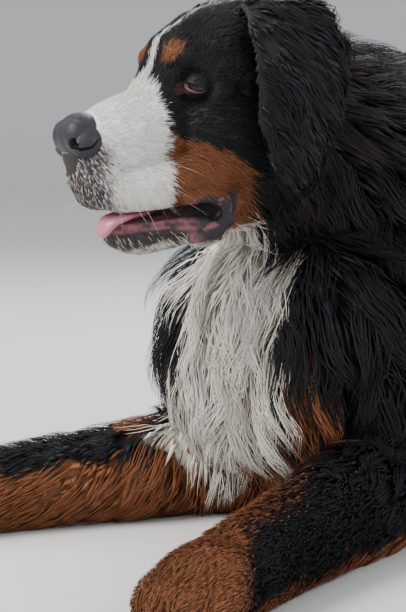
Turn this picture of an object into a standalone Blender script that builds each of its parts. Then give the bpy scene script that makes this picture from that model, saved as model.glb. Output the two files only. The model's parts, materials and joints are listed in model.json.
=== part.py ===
# Bernese mountain dog, adult male, life size, lying down with its forelegs ahead.
# Metres. The dog faces -Y, its left side is +X, and the floor is z = 0.
import math
import random

import bmesh
import bpy
from mathutils import Matrix, Vector
from mathutils.bvhtree import BVHTree
from mathutils.kdtree import KDTree

# Driving sizes
GAP = 0.0003
FIT_GROW = 0.0006
CORE_SHARE = 0.45
BODY_VOXEL = 0.009
HEAD_VOXEL = 0.0032
BODY_TRIANGLES = 2500
HEAD_TRIANGLES = 1600
EAR_TRIANGLES = 460
EAR_VOXEL = 0.0020
HEAD_FUR = 0.003
LOCK_SPACING = 0.067
COAT_TRIANGLES = 6300
LOCK_SLENDER = 0.29
LOCK_SIDES = 3
LOCK_THICKNESS = 0.009
LOCK_REACH = 1.65
LOCK_LONGEST = 0.175
LOCK_SHORTEST = 0.080
EAR_LOCK_THICKNESS = 0.0045
LOCK_SINK = 0.012
LOCK_FROM_HAIR = 0.046
EAR_LOCK_SPACING = 0.038
SCATTER_TRIES = 6000
# Stations of a lock: share of its length, share of its width, share of the coat outside the core
LOCK_PROFILE = (
    (0.00, 0.70, 0.00),
    (0.30, 1.00, 0.50),
    (0.66, 0.72, 0.92),
    (1.00, 0.06, 1.02),
)
EYE_RADIUS = 0.0115
EYE_SEGMENTS = 12
LID_THICKNESS = 0.0014
LID_SIDES = 4
LID_REACH = 0.0090
LID_FADE = 0.0210
SEED = 11

# Pose of the head: its frame's origin lies midway between the eyes
HEAD_ORIGIN = Vector((0.0, -0.379, 0.406))
HEAD_TURN = math.radians(-17.0)
HEAD_DROP = math.radians(11.0)

# Body rings along the trunk: x, y, z, half width, half height
TRUNK = (
    (0, -0.260, 0.215, 0.042, 0.060),
    (0, -0.232, 0.200, 0.078, 0.112),
    (0, -0.185, 0.190, 0.112, 0.165),
    (0, -0.110, 0.190, 0.134, 0.193),
    (0, 0.000, 0.182, 0.145, 0.189),
    (0, 0.120, 0.176, 0.143, 0.180),
    (0, 0.240, 0.178, 0.125, 0.172),
    (0, 0.340, 0.182, 0.118, 0.158),
    (0, 0.420, 0.178, 0.104, 0.125),
    (0, 0.465, 0.165, 0.065, 0.075),
)
NECK = (
    (0, -0.080, 0.215, 0.116, 0.130),
    (0, -0.155, 0.280, 0.104, 0.120),
    (0.006, -0.215, 0.335, 0.090, 0.103),
    (0.012, -0.258, 0.372, 0.072, 0.080),
)
UPPER_ARM = (
    (0.085, -0.215, 0.205, 0.048, 0.055),
    (0.108, -0.205, 0.125, 0.050, 0.056),
    (0.112, -0.200, 0.058, 0.045, 0.048),
)
FOREARM = (
    (0.098, -0.165, 0.048, 0.038, 0.042),
    (0.110, -0.225, 0.046, 0.045, 0.049),
    (0.145, -0.345, 0.040, 0.038, 0.042),
    (0.180, -0.460, 0.035, 0.033, 0.037),
    (0.195, -0.510, 0.032, 0.038, 0.034),
)
THIGH = (
    (0.095, 0.380, 0.210, 0.075, 0.105),
    (0.130, 0.310, 0.185, 0.080, 0.110),
    (0.165, 0.230, 0.150, 0.062, 0.088),
    (0.182, 0.165, 0.130, 0.045, 0.060),
)
SHANK = (
    (0.182, 0.175, 0.120, 0.045, 0.055),
    (0.182, 0.270, 0.090, 0.045, 0.055),
    (0.180, 0.360, 0.060, 0.034, 0.042),
    (0.180, 0.405, 0.040, 0.028, 0.036),
)
METATARSUS = (
    (0.182, 0.415, 0.036, 0.026, 0.036),
    (0.192, 0.330, 0.030, 0.027, 0.030),
    (0.204, 0.220, 0.028, 0.029, 0.028),
    (0.210, 0.165, 0.028, 0.034, 0.029),
)
TAIL = (
    (0.000, 0.430, 0.180, 0.038, 0.038),
    (0.015, 0.500, 0.120, 0.034, 0.034),
    (0.045, 0.570, 0.062, 0.030, 0.030),
    (0.090, 0.630, 0.038, 0.027, 0.027),
    (0.160, 0.668, 0.032, 0.024, 0.024),
    (0.250, 0.672, 0.030, 0.020, 0.020),
    (0.330, 0.640, 0.028, 0.015, 0.015),
    (0.380, 0.590, 0.026, 0.010, 0.010),
)

# Head rings in centimetres: sideways, forward, up, half width, half height
SKULL = (
    (0, -12.5, 0.0, 3.0, 3.2),
    (0, -10.5, 0.2, 5.4, 5.0),
    (0, -7.0, 0.3, 6.8, 5.8),
    (0, -3.5, 0.1, 6.8, 6.0),
    (0, -0.6, -0.4, 5.1, 5.1),
    (0, 1.1, -1.3, 4.0, 3.6),
    (0, 2.6, -2.3, 3.7, 3.0),
)
MUZZLE = (
    (0, 0.5, -3.3, 4.4, 4.2),
    (0, 3.2, -3.4, 4.1, 4.0),
    (0, 6.6, -4.0, 3.7, 4.0),
    (0, 8.2, -4.5, 3.1, 3.8),
    (0, 9.0, -5.5, 2.6, 3.1),
    (0, 9.4, -6.1, 2.0, 2.3),
)
FLEW = (
    (0.9, 9.4, -7.1, 1.4, 1.5),
    (2.3, 8.2, -7.5, 1.4, 1.7),
    (3.3, 5.5, -7.6, 1.4, 1.9),
    (4.1, 2.4, -7.5, 1.4, 2.0),
    (4.6, -0.4, -7.2, 1.5, 2.2),
)
JAW = (
    (0, 7.8, -11.1, 1.9, 1.3),
    (0, 6.4, -11.3, 2.6, 1.7),
    (0, 3.8, -11.3, 3.2, 1.9),
    (0, 0.5, -10.8, 4.1, 2.3),
    (0, -3.0, -9.2, 4.9, 3.3),
    (0, -6.5, -7.2, 5.1, 4.2),
)
# Lower lip from the corner to the chin, and the loose fold that hangs at the corner
LOWER_LIP = (
    (4.6, 1.6, -11.6, 0.6, 0.7),
    (4.0, 4.0, -11.1, 0.6, 0.7),
    (2.9, 6.6, -10.7, 0.6, 0.7),
    (1.2, 8.6, -10.5, 0.6, 0.7),
)
CORNER_FOLD = (
    (4.9, 2.4, -8.9, 0.5, 0.6),
    (5.4, 0.4, -9.1, 0.6, 0.7),
    (5.6, -0.9, -9.9, 0.6, 0.7),
    (5.4, -1.0, -11.2, 0.6, 0.7),
    (4.9, 0.4, -12.2, 0.7, 0.8),
    (4.3, 2.3, -12.5, 0.6, 0.6),
)
# Head masses: sideways, forward, up, half width, half length, half height
HEAD_MASSES = (
    (3.6, -3.0, -4.6, 3.4, 5.2, 4.8),
    (2.5, -0.1, 2.5, 2.0, 1.8, 1.3),
    (4.2, -2.2, -0.8, 2.0, 3.0, 2.2),
    (3.0, -5.0, 2.6, 3.4, 4.8, 2.8),
    (1.6, 8.6, -6.0, 1.7, 1.9, 2.0),
)
# Dents of the head: sideways, forward, up, reach, depth
HEAD_DENTS = (
    (3.9, 1.2, 0.1, 2.0, 0.25),
    (0.0, 2.2, 2.2, 1.6, 0.25),
    (0.0, -1.5, 6.4, 1.6, 0.20),
)
# Run of the lips from the left corner round the front: sideways, forward, up, half width, half height
LIP_LINE = (
    (5.8, -0.3, -10.3, 0.9, 0.14),
    (5.1, 1.3, -10.2, 1.2, 0.42),
    (4.4, 3.6, -10.1, 1.3, 0.50),
    (3.6, 6.4, -10.0, 1.4, 0.50),
    (2.4, 8.7, -9.8, 1.4, 0.55),
    (0.9, 10.1, -9.6, 1.5, 0.62),
)
EYE = (3.75, -0.40, 0.0)
EYE_TURN = math.radians(38.0)

# Coat guides on the left side: x, y, z, lie direction, depth of coat, length of hair
COAT = (
    (0.00, -0.10, 0.39, 0.0, 1.0, -0.1, 0.035, 0.080),
    (0.00, 0.10, 0.36, 0.0, 1.0, 0.0, 0.028, 0.070),
    (0.00, 0.28, 0.35, 0.0, 1.0, 0.0, 0.028, 0.070),
    (0.00, 0.42, 0.30, 0.0, 0.8, -0.6, 0.030, 0.075),
    (0.00, 0.47, 0.17, 0.0, 0.1, -1.0, 0.045, 0.090),
    (0.14, -0.10, 0.22, 0.05, 0.6, -0.8, 0.035, 0.075),
    (0.14, 0.08, 0.18, 0.0, 0.8, -0.6, 0.032, 0.075),
    (0.12, 0.25, 0.16, 0.0, 0.8, -0.6, 0.030, 0.070),
    (0.12, 0.05, 0.05, 0.0, 0.7, -0.4, 0.018, 0.055),
    (0.00, -0.29, 0.20, 0.0, -0.15, -1.0, 0.050, 0.110),
    (0.00, -0.27, 0.08, 0.0, -0.10, -1.0, 0.040, 0.090),
    (0.09, -0.26, 0.20, 0.2, 0.10, -1.0, 0.045, 0.100),
    (0.13, -0.22, 0.18, 0.1, 0.30, -1.0, 0.038, 0.080),
    (0.00, -0.29, 0.28, 0.0, -0.10, -1.0, 0.045, 0.100),
    (0.10, -0.20, 0.33, 0.1, 0.60, -0.8, 0.045, 0.100),
    (0.00, -0.19, 0.43, 0.0, 0.90, -0.45, 0.038, 0.090),
    (0.14, -0.16, 0.09, 0.1, -0.20, -0.8, 0.020, 0.060),
    (0.17, -0.25, 0.06, 0.3, -0.95, -0.1, 0.012, 0.035),
    (0.19, -0.33, 0.05, 0.3, -0.95, -0.1, 0.008, 0.022),
    (0.216, -0.42, 0.04, 0.25, -0.96, -0.1, 0.007, 0.016),
    (0.25, -0.54, 0.03, 0.25, -0.96, -0.1, 0.005, 0.012),
    (0.16, 0.32, 0.24, 0.2, 0.4, -0.9, 0.030, 0.070),
    (0.20, 0.20, 0.16, 0.1, -0.1, -1.0, 0.018, 0.045),
    (0.18, 0.42, 0.05, 0.0, 0.5, -0.7, 0.022, 0.055),
    (0.205, 0.28, 0.03, 0.0, -1.0, -0.1, 0.008, 0.018),
    (0.210, 0.10, 0.03, 0.0, -1.0, -0.1, 0.005, 0.012),
    (0.07, 0.49, 0.17, 0.1, 0.2, -1.0, 0.042, 0.090),
    (0.12, 0.45, 0.11, 0.1, 0.3, -0.9, 0.038, 0.085),
)
TAIL_DEPTH = 0.034
TAIL_HAIR = 0.085
TAIL_START = 0.525

NOSE_TRIANGLES = 220
NOSE_VOXEL = 0.0016
SHARP_EDGE = 0.7
FOLD_LIMIT = 3.0
FOLD_ROUNDS = 12
SHORTEST_EDGE = 0.000004
TOUCH_LIMIT = 0.000012
TOUCH_MOVE = 0.00004
ROUGHNESS = {
    "black_coat": 0.75,
    "white_coat": 0.85,
    "rust_coat": 0.80,
    "nose_leather": 0.40,
    "tongue_pink": 0.35,
    "eye_gloss": 0.08,
}
COLOURS = {
    "black_coat": (0.012, 0.013, 0.016, 1.0),
    "white_coat": (0.72, 0.68, 0.62, 1.0),
    "rust_coat": (0.28, 0.090, 0.030, 1.0),
    "nose_leather": (0.045, 0.043, 0.048, 1.0),
    "tongue_pink": (0.62, 0.24, 0.28, 1.0),
    "eye_gloss": (0.030, 0.013, 0.006, 1.0),
}


def clear_scene():
    for item in list(bpy.data.objects):
        bpy.data.objects.remove(item, do_unlink=True)


def add_object(name, bm):
    bmesh.ops.recalc_face_normals(bm, faces=bm.faces[:])
    mesh = bpy.data.meshes.new(name)
    bm.to_mesh(mesh)
    bm.free()
    item = bpy.data.objects.new(name, mesh)
    bpy.context.scene.collection.objects.link(item)
    return item


def discard(items):
    for item in items:
        bpy.data.objects.remove(item, do_unlink=True)


def settle(item):
    """Replace the mesh with the result of the modifiers and drop them."""
    graph = bpy.context.evaluated_depsgraph_get()
    mesh = bpy.data.meshes.new_from_object(item.evaluated_get(graph), depsgraph=graph)
    item.modifiers.clear()
    item.data = mesh


def add_ring(bm, centre, side, up, width, height, sides):
    """One ellipse of points across a limb, muzzle or lock."""
    ahead = side.cross(up)
    frame = Matrix((side * width, up * height, ahead)).transposed().to_4x4()
    frame.translation = centre
    return bmesh.ops.create_circle(bm, segments=sides, radius=1.0, matrix=frame)["verts"]


def bridge_rings(bm, rings):
    """Join a row of rings into one closed body with flat ends."""
    for first, second in zip(rings, rings[1:]):
        edges = []
        for loop in (first, second):
            members = set(loop)
            found = {edge for vert in loop for edge in vert.link_edges if edge.other_vert(vert) in members}
            edges.extend(found)
        bmesh.ops.bridge_loops(bm, edges=edges)
    bm.faces.new(rings[0])
    bm.faces.new(rings[-1])


def add_tube(bm, stations, sides=16, mirror=1.0, reference=Vector((1, 0, 0))):
    """A closed body through stations of x, y, z, half width and half height, with rounded ends."""
    centres = [Vector((s[0] * mirror, s[1], s[2])) for s in stations]
    sizes = [(s[3], s[4]) for s in stations]
    last = len(centres) - 1
    start_way = (centres[0] - centres[1]).normalized()
    end_way = (centres[last] - centres[last - 1]).normalized()
    start_size = min(sizes[0])
    end_size = min(sizes[last])
    rows = []
    for reach, scale in ((0.85, 0.45), (0.5, 0.8)):
        rows.append((centres[0] + start_way * start_size * reach, sizes[0][0] * scale, sizes[0][1] * scale, -start_way))
    for index, centre in enumerate(centres):
        ahead = centres[min(index + 1, last)] - centres[max(index - 1, 0)]
        rows.append((centre, sizes[index][0], sizes[index][1], ahead.normalized()))
    for reach, scale in ((0.5, 0.8), (0.85, 0.45)):
        rows.append((centres[last] + end_way * end_size * reach, sizes[last][0] * scale, sizes[last][1] * scale, end_way))
    rings = []
    for centre, width, height, ahead in rows:
        side = (reference - ahead * reference.dot(ahead)).normalized()
        up = ahead.cross(side).normalized()
        rings.append(add_ring(bm, centre, side, up, width, height, sides))
    bridge_rings(bm, rings)


def add_blob(bm, centre, size, turn=0.0, segments=16):
    """An ellipsoid turned about the vertical."""
    frame = Matrix.Translation(centre) @ Matrix.Rotation(turn, 4, "Z") @ Matrix.Diagonal((*size, 1.0))
    bmesh.ops.create_uvsphere(bm, u_segments=segments, v_segments=segments // 2 + 2, radius=1.0, matrix=frame)


def add_claw(bm, base, way, length, radius):
    """A claw: a short cone that bends down to a blunt tip."""
    side = way.cross(Vector((0, 0, 1))).normalized()
    rings = []
    for share, scale in ((0.0, 1.0), (0.6, 0.7), (1.0, 0.2)):
        centre = base + way * length * share - Vector((0, 0, 1)) * length * 0.35 * share * share
        up = way.cross(side).normalized()
        rings.append(add_ring(bm, centre, side, up, radius * scale, radius * scale * 1.25, 5))
    bridge_rings(bm, rings)


def from_head(x, forward, up):
    """A point of the head's own frame, in metres, from centimetres sideways, forward and up."""
    return Vector((x, -forward, up)) * 0.01


def head_stations(rows, mirror=1.0):
    return [(r[0] * 0.01 * mirror, -r[1] * 0.01, r[2] * 0.01, r[3] * 0.01, r[4] * 0.01) for r in rows]


def head_frame():
    turn = Matrix.Rotation(HEAD_TURN, 4, "Z")
    drop = Matrix.Rotation(HEAD_DROP, 4, "X")
    return Matrix.Translation(HEAD_ORIGIN) @ turn @ drop


def fuse(item, voxel, steps):
    """Melt overlapping pieces into one skin and soften it."""
    remesh = item.modifiers.new("Fuse", "REMESH")
    remesh.mode = "VOXEL"
    remesh.voxel_size = voxel
    smooth = item.modifiers.new("Soften", "SMOOTH")
    smooth.factor = 0.5
    smooth.iterations = steps
    settle(item)


def thin_out(item, triangles):
    """Reduce a skin to about the given number of triangles."""
    bm = bmesh.new()
    bm.from_mesh(item.data)
    bmesh.ops.triangulate(bm, faces=bm.faces[:])
    count = len(bm.faces)
    bm.to_mesh(item.data)
    bm.free()
    decimate = item.modifiers.new("Thin", "DECIMATE")
    decimate.ratio = min(1.0, triangles / count)
    settle(item)


def tail_lie(point):
    """Direction along the tail at the nearest part of it."""
    best = None
    for first, second in zip(TAIL, TAIL[1:]):
        start = Vector(first[:3])
        run = Vector(second[:3]) - start
        share = max(0.0, min(1.0, (point - start).dot(run) / run.length_squared))
        distance = (start + run * share - point).length
        if best is None or distance < best[0]:
            best = (distance, run.normalized())
    return best[1]


def coat_at(point):
    """Lie direction, depth of the coat and length of its hair at a point of the skin."""
    if point.y > TAIL_START:
        return tail_lie(point), TAIL_DEPTH, TAIL_HAIR
    side = -1.0 if point.x < 0 else 1.0
    mirrored = Vector((abs(point.x), point.y, point.z))
    total = 0.0
    lie = Vector((0, 0, 0))
    depth = 0.0
    length = 0.0
    for row in COAT:
        gap = (Vector(row[:3]) - mirrored).length_squared
        weight = 1.0 / (gap + 0.0006) ** 2
        total += weight
        lie += Vector(row[3:6]) * weight
        depth += row[6] * weight
        length += row[7] * weight
    lie.x *= side
    return lie.normalized(), depth / total, length / total


def push_out(item, share):
    """Move the skin out by a share of the coat's depth."""
    normals = [vert.normal.copy() for vert in item.data.vertices]
    for vert, normal in zip(item.data.vertices, normals):
        _, depth, _ = coat_at(vert.co)
        vert.co += normal * depth * share


def swell(item, amount):
    """Move a skin out evenly along its normals."""
    normals = [vert.normal.copy() for vert in item.data.vertices]
    for vert, normal in zip(item.data.vertices, normals):
        vert.co += normal * amount


def dent(item, centre, reach, depth):
    """Press a soft hollow into a skin, along its own normals."""
    normals = [vert.normal.copy() for vert in item.data.vertices]
    for vert, normal in zip(item.data.vertices, normals):
        gap = (vert.co - centre).length / reach
        if gap < 3.0:
            vert.co -= normal * depth * math.exp(-gap * gap)


def drape_lids(item, mirror):
    """Lay the skin in front of an eye over its ball, as lids of one thickness."""
    centre = eye_point(mirror)
    axis = eye_axis(mirror)
    outside = EYE_RADIUS + LID_THICKNESS
    for vert in item.data.vertices:
        offset = vert.co - centre
        along = offset.dot(axis)
        aside = (offset - axis * along).length
        if along <= 0 or aside >= LID_FADE:
            continue
        blend = min(1.0, (LID_FADE - aside) / (LID_FADE - LID_REACH))
        blend = blend * blend * (3.0 - 2.0 * blend)
        wanted = math.sqrt(max(outside ** 2 - aside ** 2, 0.003 ** 2))
        vert.co += axis * (wanted - along) * blend


def add_paw(bm, wrist, way, scale):
    """A forward part of a foot with four toes and their claws, flat on the floor."""
    side = Vector((-way.y, way.x, 0))
    heading = math.atan2(way.y, way.x)
    middle = wrist + way * 0.035 * scale
    add_blob(bm, Vector((middle.x, middle.y, 0.030 * scale)), (0.050 * scale, 0.040 * scale, 0.033 * scale), heading)
    for spread, reach, drop in ((-0.030, 0.058, 0.94), (-0.0105, 0.078, 1.0), (0.0105, 0.078, 1.0), (0.030, 0.058, 0.94)):
        toe = wrist + way * reach * scale + side * spread * scale
        centre = Vector((toe.x, toe.y, 0.0225 * scale * drop))
        splay = way + side * spread * 4.0
        add_blob(bm, centre, (0.030 * scale, 0.0128 * scale, 0.0235 * scale), math.atan2(splay.y, splay.x))


def toe_claws(bm, wrist, way, scale):
    """Four claws at the fronts of the toes."""
    side = Vector((-way.y, way.x, 0))
    for spread, reach in ((-0.030, 0.080), (-0.0105, 0.100), (0.0105, 0.100), (0.030, 0.080)):
        splay = (way + side * spread * 4.0).normalized()
        base = wrist + way * reach * scale + side * spread * 1.1 * scale
        add_claw(bm, Vector((base.x, base.y, 0.0155 * scale)), splay, 0.018 * scale, 0.0042 * scale)


def paw_frame(stations, mirror):
    """Where a foot starts and the way it points."""
    end = Vector((stations[-1][0] * mirror, stations[-1][1], 0))
    before = Vector((stations[-2][0] * mirror, stations[-2][1], 0))
    return end, (end - before).normalized()


def body_skin():
    """Trunk, neck, limbs, feet and tail as one skin, without coat."""
    bm = bmesh.new()
    add_tube(bm, TRUNK, 24)
    add_tube(bm, NECK, 20)
    for mirror in (1.0, -1.0):
        add_tube(bm, UPPER_ARM, 14, mirror)
        add_tube(bm, FOREARM, 14, mirror)
        add_tube(bm, THIGH, 16, mirror)
        add_tube(bm, SHANK, 14, mirror)
        add_tube(bm, METATARSUS, 14, mirror)
        add_paw(bm, *paw_frame(FOREARM, mirror), 1.0)
        add_paw(bm, *paw_frame(METATARSUS, mirror), 0.86)
        add_blob(bm, Vector((0.072 * mirror, -0.13, 0.245)), (0.066, 0.10, 0.12))
        add_blob(bm, Vector((0.060 * mirror, -0.245, 0.17)), (0.055, 0.055, 0.10))
        add_blob(bm, Vector((0.075 * mirror, 0.34, 0.21)), (0.075, 0.11, 0.12))
    add_tube(bm, TAIL, 12, 1.0, Vector((0.6, -0.75, 0.1)))
    item = add_object("body_skin", bm)
    fuse(item, BODY_VOXEL, 10)
    return item


def head_skin():
    """Skull, muzzle, lips and jaw as one skin in the head's own frame."""
    bm = bmesh.new()
    add_tube(bm, head_stations(SKULL), 24)
    add_tube(bm, head_stations(MUZZLE), 24)
    add_tube(bm, head_stations(JAW), 20)
    for mirror in (1.0, -1.0):
        add_tube(bm, head_stations(FLEW, mirror), 14)
        add_tube(bm, head_stations(LOWER_LIP, mirror), 10)
        add_tube(bm, head_stations(CORNER_FOLD, mirror), 10, 1.0, Vector((0.9, 0.1, 0.3)))
        for row in HEAD_MASSES:
            centre = from_head(row[0] * mirror, row[1], row[2])
            add_blob(bm, centre, (row[3] * 0.01, row[4] * 0.01, row[5] * 0.01))
    item = add_object("head_skin", bm)
    fuse(item, HEAD_VOXEL, 9)
    for mirror in (1.0, -1.0):
        for row in HEAD_DENTS:
            centre = from_head(row[0] * mirror, row[1], row[2])
            dent(item, centre, row[3] * 0.01, row[4] * 0.01)
    return item


def combine(base, others, operation, solver):
    """Join or cut a body with a set of closed bodies in one go."""
    group = bpy.data.collections.new("Group")
    bpy.context.scene.collection.children.link(group)
    for item in others:
        group.objects.link(item)
    change = base.modifiers.new("Combine", "BOOLEAN")
    change.operation = operation
    change.operand_type = "COLLECTION"
    change.collection = group
    change.solver = solver
    settle(base)
    bpy.data.collections.remove(group)
    discard(others)


def cut(base, cutters):
    """Take each cutter out of a body in turn."""
    for cutter in cutters:
        combine(base, [cutter], "DIFFERENCE", "MANIFOLD")
    keep_largest(base)


def keep_largest(item):
    """Keep only the largest closed surface of a body."""
    bm = bmesh.new()
    bm.from_mesh(item.data)
    bm.verts.ensure_lookup_table()
    unseen = set(bm.verts)
    best = []
    best_area = -1.0
    while unseen:
        stack = [unseen.pop()]
        members = list(stack)
        while stack:
            vert = stack.pop()
            for edge in vert.link_edges:
                other = edge.other_vert(vert)
                if other in unseen:
                    unseen.discard(other)
                    members.append(other)
                    stack.append(other)
        faces = {face for vert in members for face in vert.link_faces}
        area = sum(face.calc_area() for face in faces)
        if area > best_area:
            best_area = area
            best = members
    chosen = set(best)
    bmesh.ops.delete(bm, geom=[vert for vert in bm.verts if vert not in chosen], context="VERTS")
    bm.to_mesh(item.data)
    bm.free()


def box_cutter(name, low, high, grow=0.0, frame=None):
    """A box between two corners, grown on every side, set in a frame."""
    bm = bmesh.new()
    centre = (Vector(low) + Vector(high)) / 2
    size = Vector(high) - Vector(low) + Vector((2, 2, 2)) * grow
    place = Matrix.Translation(centre) @ Matrix.Diagonal((*size, 1.0))
    bmesh.ops.create_cube(bm, size=1.0, matrix=place)
    if frame is not None:
        bmesh.ops.transform(bm, matrix=frame, verts=bm.verts[:])
    return add_object(name, bm)


def copy_of(item, name):
    twin = bpy.data.objects.new(name, item.data.copy())
    bpy.context.scene.collection.objects.link(twin)
    return twin


def block(name, boxes, grow):
    """One body made of boxes, each given by two corners and a frame."""
    made = [box_cutter(name, low, high, grow, frame) for low, high, frame in boxes]
    if len(made) > 1:
        combine(made[0], made[1:], "UNION", "MANIFOLD")
    return made[0]


def part_off(rest, name, boxes):
    """Take the part of a body inside some boxes as its own node, with a thin gap around it."""
    piece = copy_of(rest, name)
    combine(piece, [block("inner", boxes, -GAP / 2)], "INTERSECT", "MANIFOLD")
    combine(rest, [block("outer", boxes, GAP / 2)], "DIFFERENCE", "MANIFOLD")
    keep_largest(piece)
    keep_largest(rest)
    return piece


def plane_frame(point, normal):
    """A frame at a point whose z axis is the given normal."""
    turn = Vector(normal).normalized().to_track_quat("Z", "Y").to_matrix().to_4x4()
    return Matrix.Translation(Vector(point)) @ turn


def ear_body(mirror, grow):
    """A hanging ear leaf, cupped on its inner side, in the head's own frame."""
    rows = (
        (4.4, -7.6, 6.1, 2.8, 1.2),
        (6.2, -8.0, 5.6, 3.5, 1.0),
        (7.8, -8.2, 4.0, 4.1, 0.9),
        (8.8, -8.1, 1.5, 4.2, 0.8),
        (9.1, -7.8, -1.6, 3.9, 0.75),
        (9.1, -7.2, -4.6, 3.3, 0.70),
        (8.9, -6.5, -7.4, 2.4, 0.60),
        (8.8, -6.0, -9.4, 1.3, 0.50),
        (8.75, -5.9, -10.1, 0.6, 0.35),
    )
    cup = 0.55
    bm = bmesh.new()
    centres = [from_head(r[0] * mirror, r[1], r[2]) for r in rows]
    rings = []
    last = len(rows) - 1
    for index, row in enumerate(rows):
        ahead = (centres[min(index + 1, last)] - centres[max(index - 1, 0)]).normalized()
        side = Vector((0, 1, 0))
        side = (side - ahead * side.dot(ahead)).normalized()
        up = ahead.cross(side).normalized()
        outward = up if up.x * mirror > 0 else -up
        width = row[3] * 0.01
        height = row[4] * 0.005
        ring = add_ring(bm, centres[index], side, up, width, height, 12)
        for vert in ring:
            offset = (vert.co - centres[index]).dot(side) / width
            vert.co -= outward * cup * 0.01 * offset * offset * min(1.0, 0.3 + index * 0.25)
        rings.append(ring)
    bridge_rings(bm, rings)
    item = add_object("ear", bm)
    swell(item, grow)
    return item


def place_in_head(item):
    item.data.transform(head_frame())


def nose_body(grow):
    """The nose leather with its two nostrils, in the head's own frame."""
    bm = bmesh.new()
    add_blob(bm, from_head(0, 9.6, -2.3), (0.0235, 0.0205, 0.0195), 0.0, 20)
    for mirror in (1.0, -1.0):
        add_blob(bm, from_head(1.25 * mirror, 10.4, -2.1), (0.0115, 0.0115, 0.0135), 0.0, 14)
        add_blob(bm, from_head(1.70 * mirror, 9.6, -2.9), (0.0105, 0.0155, 0.0120), 0.0, 14)
    add_blob(bm, from_head(0, 10.6, -3.8), (0.0080, 0.0085, 0.0120), 0.0, 12)
    item = add_object("nose", bm)
    fuse(item, NOSE_VOXEL, 3)
    thin_out(item, NOSE_TRIANGLES)
    swell(item, grow)
    return item


def nostril_cutters():
    """A round nostril and the slit that runs back from it on each side."""
    made = []
    for mirror in (1.0, -1.0):
        rows = (
            (1.15, 12.2, -2.35, 0.36, 0.42),
            (1.20, 11.0, -2.40, 0.34, 0.40),
            (1.55, 10.4, -2.70, 0.20, 0.22),
        )
        bm = bmesh.new()
        add_tube(bm, head_stations(rows, mirror), 8)
        made.append(add_object("nostril", bm))
        slit = (
            (1.3, 11.45, -2.75, 0.45, 0.16),
            (2.1, 10.95, -3.05, 0.50, 0.15),
            (2.75, 10.1, -2.95, 0.45, 0.12),
            (2.95, 9.4, -2.5, 0.35, 0.10),
        )
        bm = bmesh.new()
        add_tube(bm, head_stations(slit, mirror), 6)
        made.append(add_object("slit", bm))
    return made


def tongue_body(grow):
    """The fore part of the tongue, lying over the lower lip."""
    rows = (
        (0.3, 4.6, -9.9, 1.5, 0.30),
        (0.5, 6.8, -9.75, 1.8, 0.32),
        (0.7, 8.3, -9.75, 1.8, 0.32),
        (0.9, 9.2, -10.05, 1.5, 0.28),
        (1.0, 9.6, -10.5, 1.0, 0.22),
    )
    bm = bmesh.new()
    add_tube(bm, head_stations(rows), 14)
    item = add_object("tongue", bm)
    swell(item, grow)
    return item


def mouth_cutter():
    """The gap between the lips, from one corner round the front to the other."""
    half = list(LIP_LINE)
    other = [(-r[0], r[1], r[2], r[3], r[4]) for r in reversed(half)]
    stations = head_stations(half + other)
    bm = bmesh.new()
    rings = []
    last = len(stations) - 1
    for index, row in enumerate(stations):
        before = Vector(stations[max(index - 1, 0)][:3])
        after = Vector(stations[min(index + 1, last)][:3])
        ahead = (after - before).normalized()
        side = ahead.cross(Vector((0, 0, 1))).normalized()
        up = side.cross(ahead).normalized()
        rings.append(add_ring(bm, Vector(row[:3]), side, up, row[3], row[4], 10))
    bridge_rings(bm, rings)
    return add_object("mouth", bm)


def eye_point(mirror):
    return from_head(EYE[0] * mirror, EYE[1], EYE[2])


def eye_axis(mirror):
    return Vector((math.sin(EYE_TURN) * mirror, -math.cos(EYE_TURN), 0.0))


def almond(mirror, share):
    """A point round the opening of the lids: share runs from 0 to 1, starting at the outer corner."""
    angle = share * math.tau
    across = math.cos(angle) * 0.0102
    lift = math.sin(angle) * (0.0058 if math.sin(angle) > 0 else 0.0050)
    lift *= 1.0 - 0.35 * abs(math.cos(angle)) ** 3
    tilt = -0.16
    return across * math.cos(tilt) - lift * math.sin(tilt), across * math.sin(tilt) + lift * math.cos(tilt)


def lid_ring(mirror):
    """The rims of the upper and lower lid as one closed ring round the eye."""
    axis = eye_axis(mirror)
    side = Vector((0, 0, 1)).cross(axis).normalized()
    outer = side if side.x * mirror > 0 else -side
    centre = eye_point(mirror)
    bm = bmesh.new()
    count = 14
    rings = []
    for index in range(count):
        across, lift = almond(mirror, index / count)
        offset = outer * across + Vector((0, 0, 1)) * lift
        forward = math.sqrt(max(EYE_RADIUS ** 2 - offset.length_squared, 0.0)) + 0.0012
        radial = offset.normalized()
        place = centre + axis * forward + offset * 1.02
        rings.append(add_ring(bm, place, radial, axis, 0.0021, 0.0017, LID_SIDES))
    for first, second in zip(rings, rings[1:] + rings[:1]):
        for step in range(LID_SIDES):
            following = (step + 1) % LID_SIDES
            bm.faces.new((first[step], first[following], second[following], second[step]))
    return add_object("lid", bm)


def lid_opening(mirror):
    """The almond prism that opens the lids down to the eye."""
    axis = eye_axis(mirror)
    side = Vector((0, 0, 1)).cross(axis).normalized()
    outer = side if side.x * mirror > 0 else -side
    centre = eye_point(mirror)
    bm = bmesh.new()
    count = 14
    rings = []
    for depth, scale in ((0.002, 0.80), (0.0125, 0.88), (0.034, 1.5)):
        ring = []
        for index in range(count):
            across, lift = almond(mirror, index / count)
            offset = outer * across * scale + Vector((0, 0, 1)) * lift * scale
            ring.append(bm.verts.new(centre + axis * depth + offset))
        rings.append(ring)
    for first, second in zip(rings, rings[1:]):
        for step in range(count):
            following = (step + 1) % count
            bm.faces.new((first[step], first[following], second[following], second[step]))
    bm.faces.new(rings[0])
    bm.faces.new(rings[-1])
    return add_object("opening", bm)


def eyeball(mirror, grow):
    bm = bmesh.new()
    add_blob(bm, eye_point(mirror), Vector((1, 1, 1)) * (EYE_RADIUS + grow), 0.0, EYE_SEGMENTS)
    return add_object("eye", bm)


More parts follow.
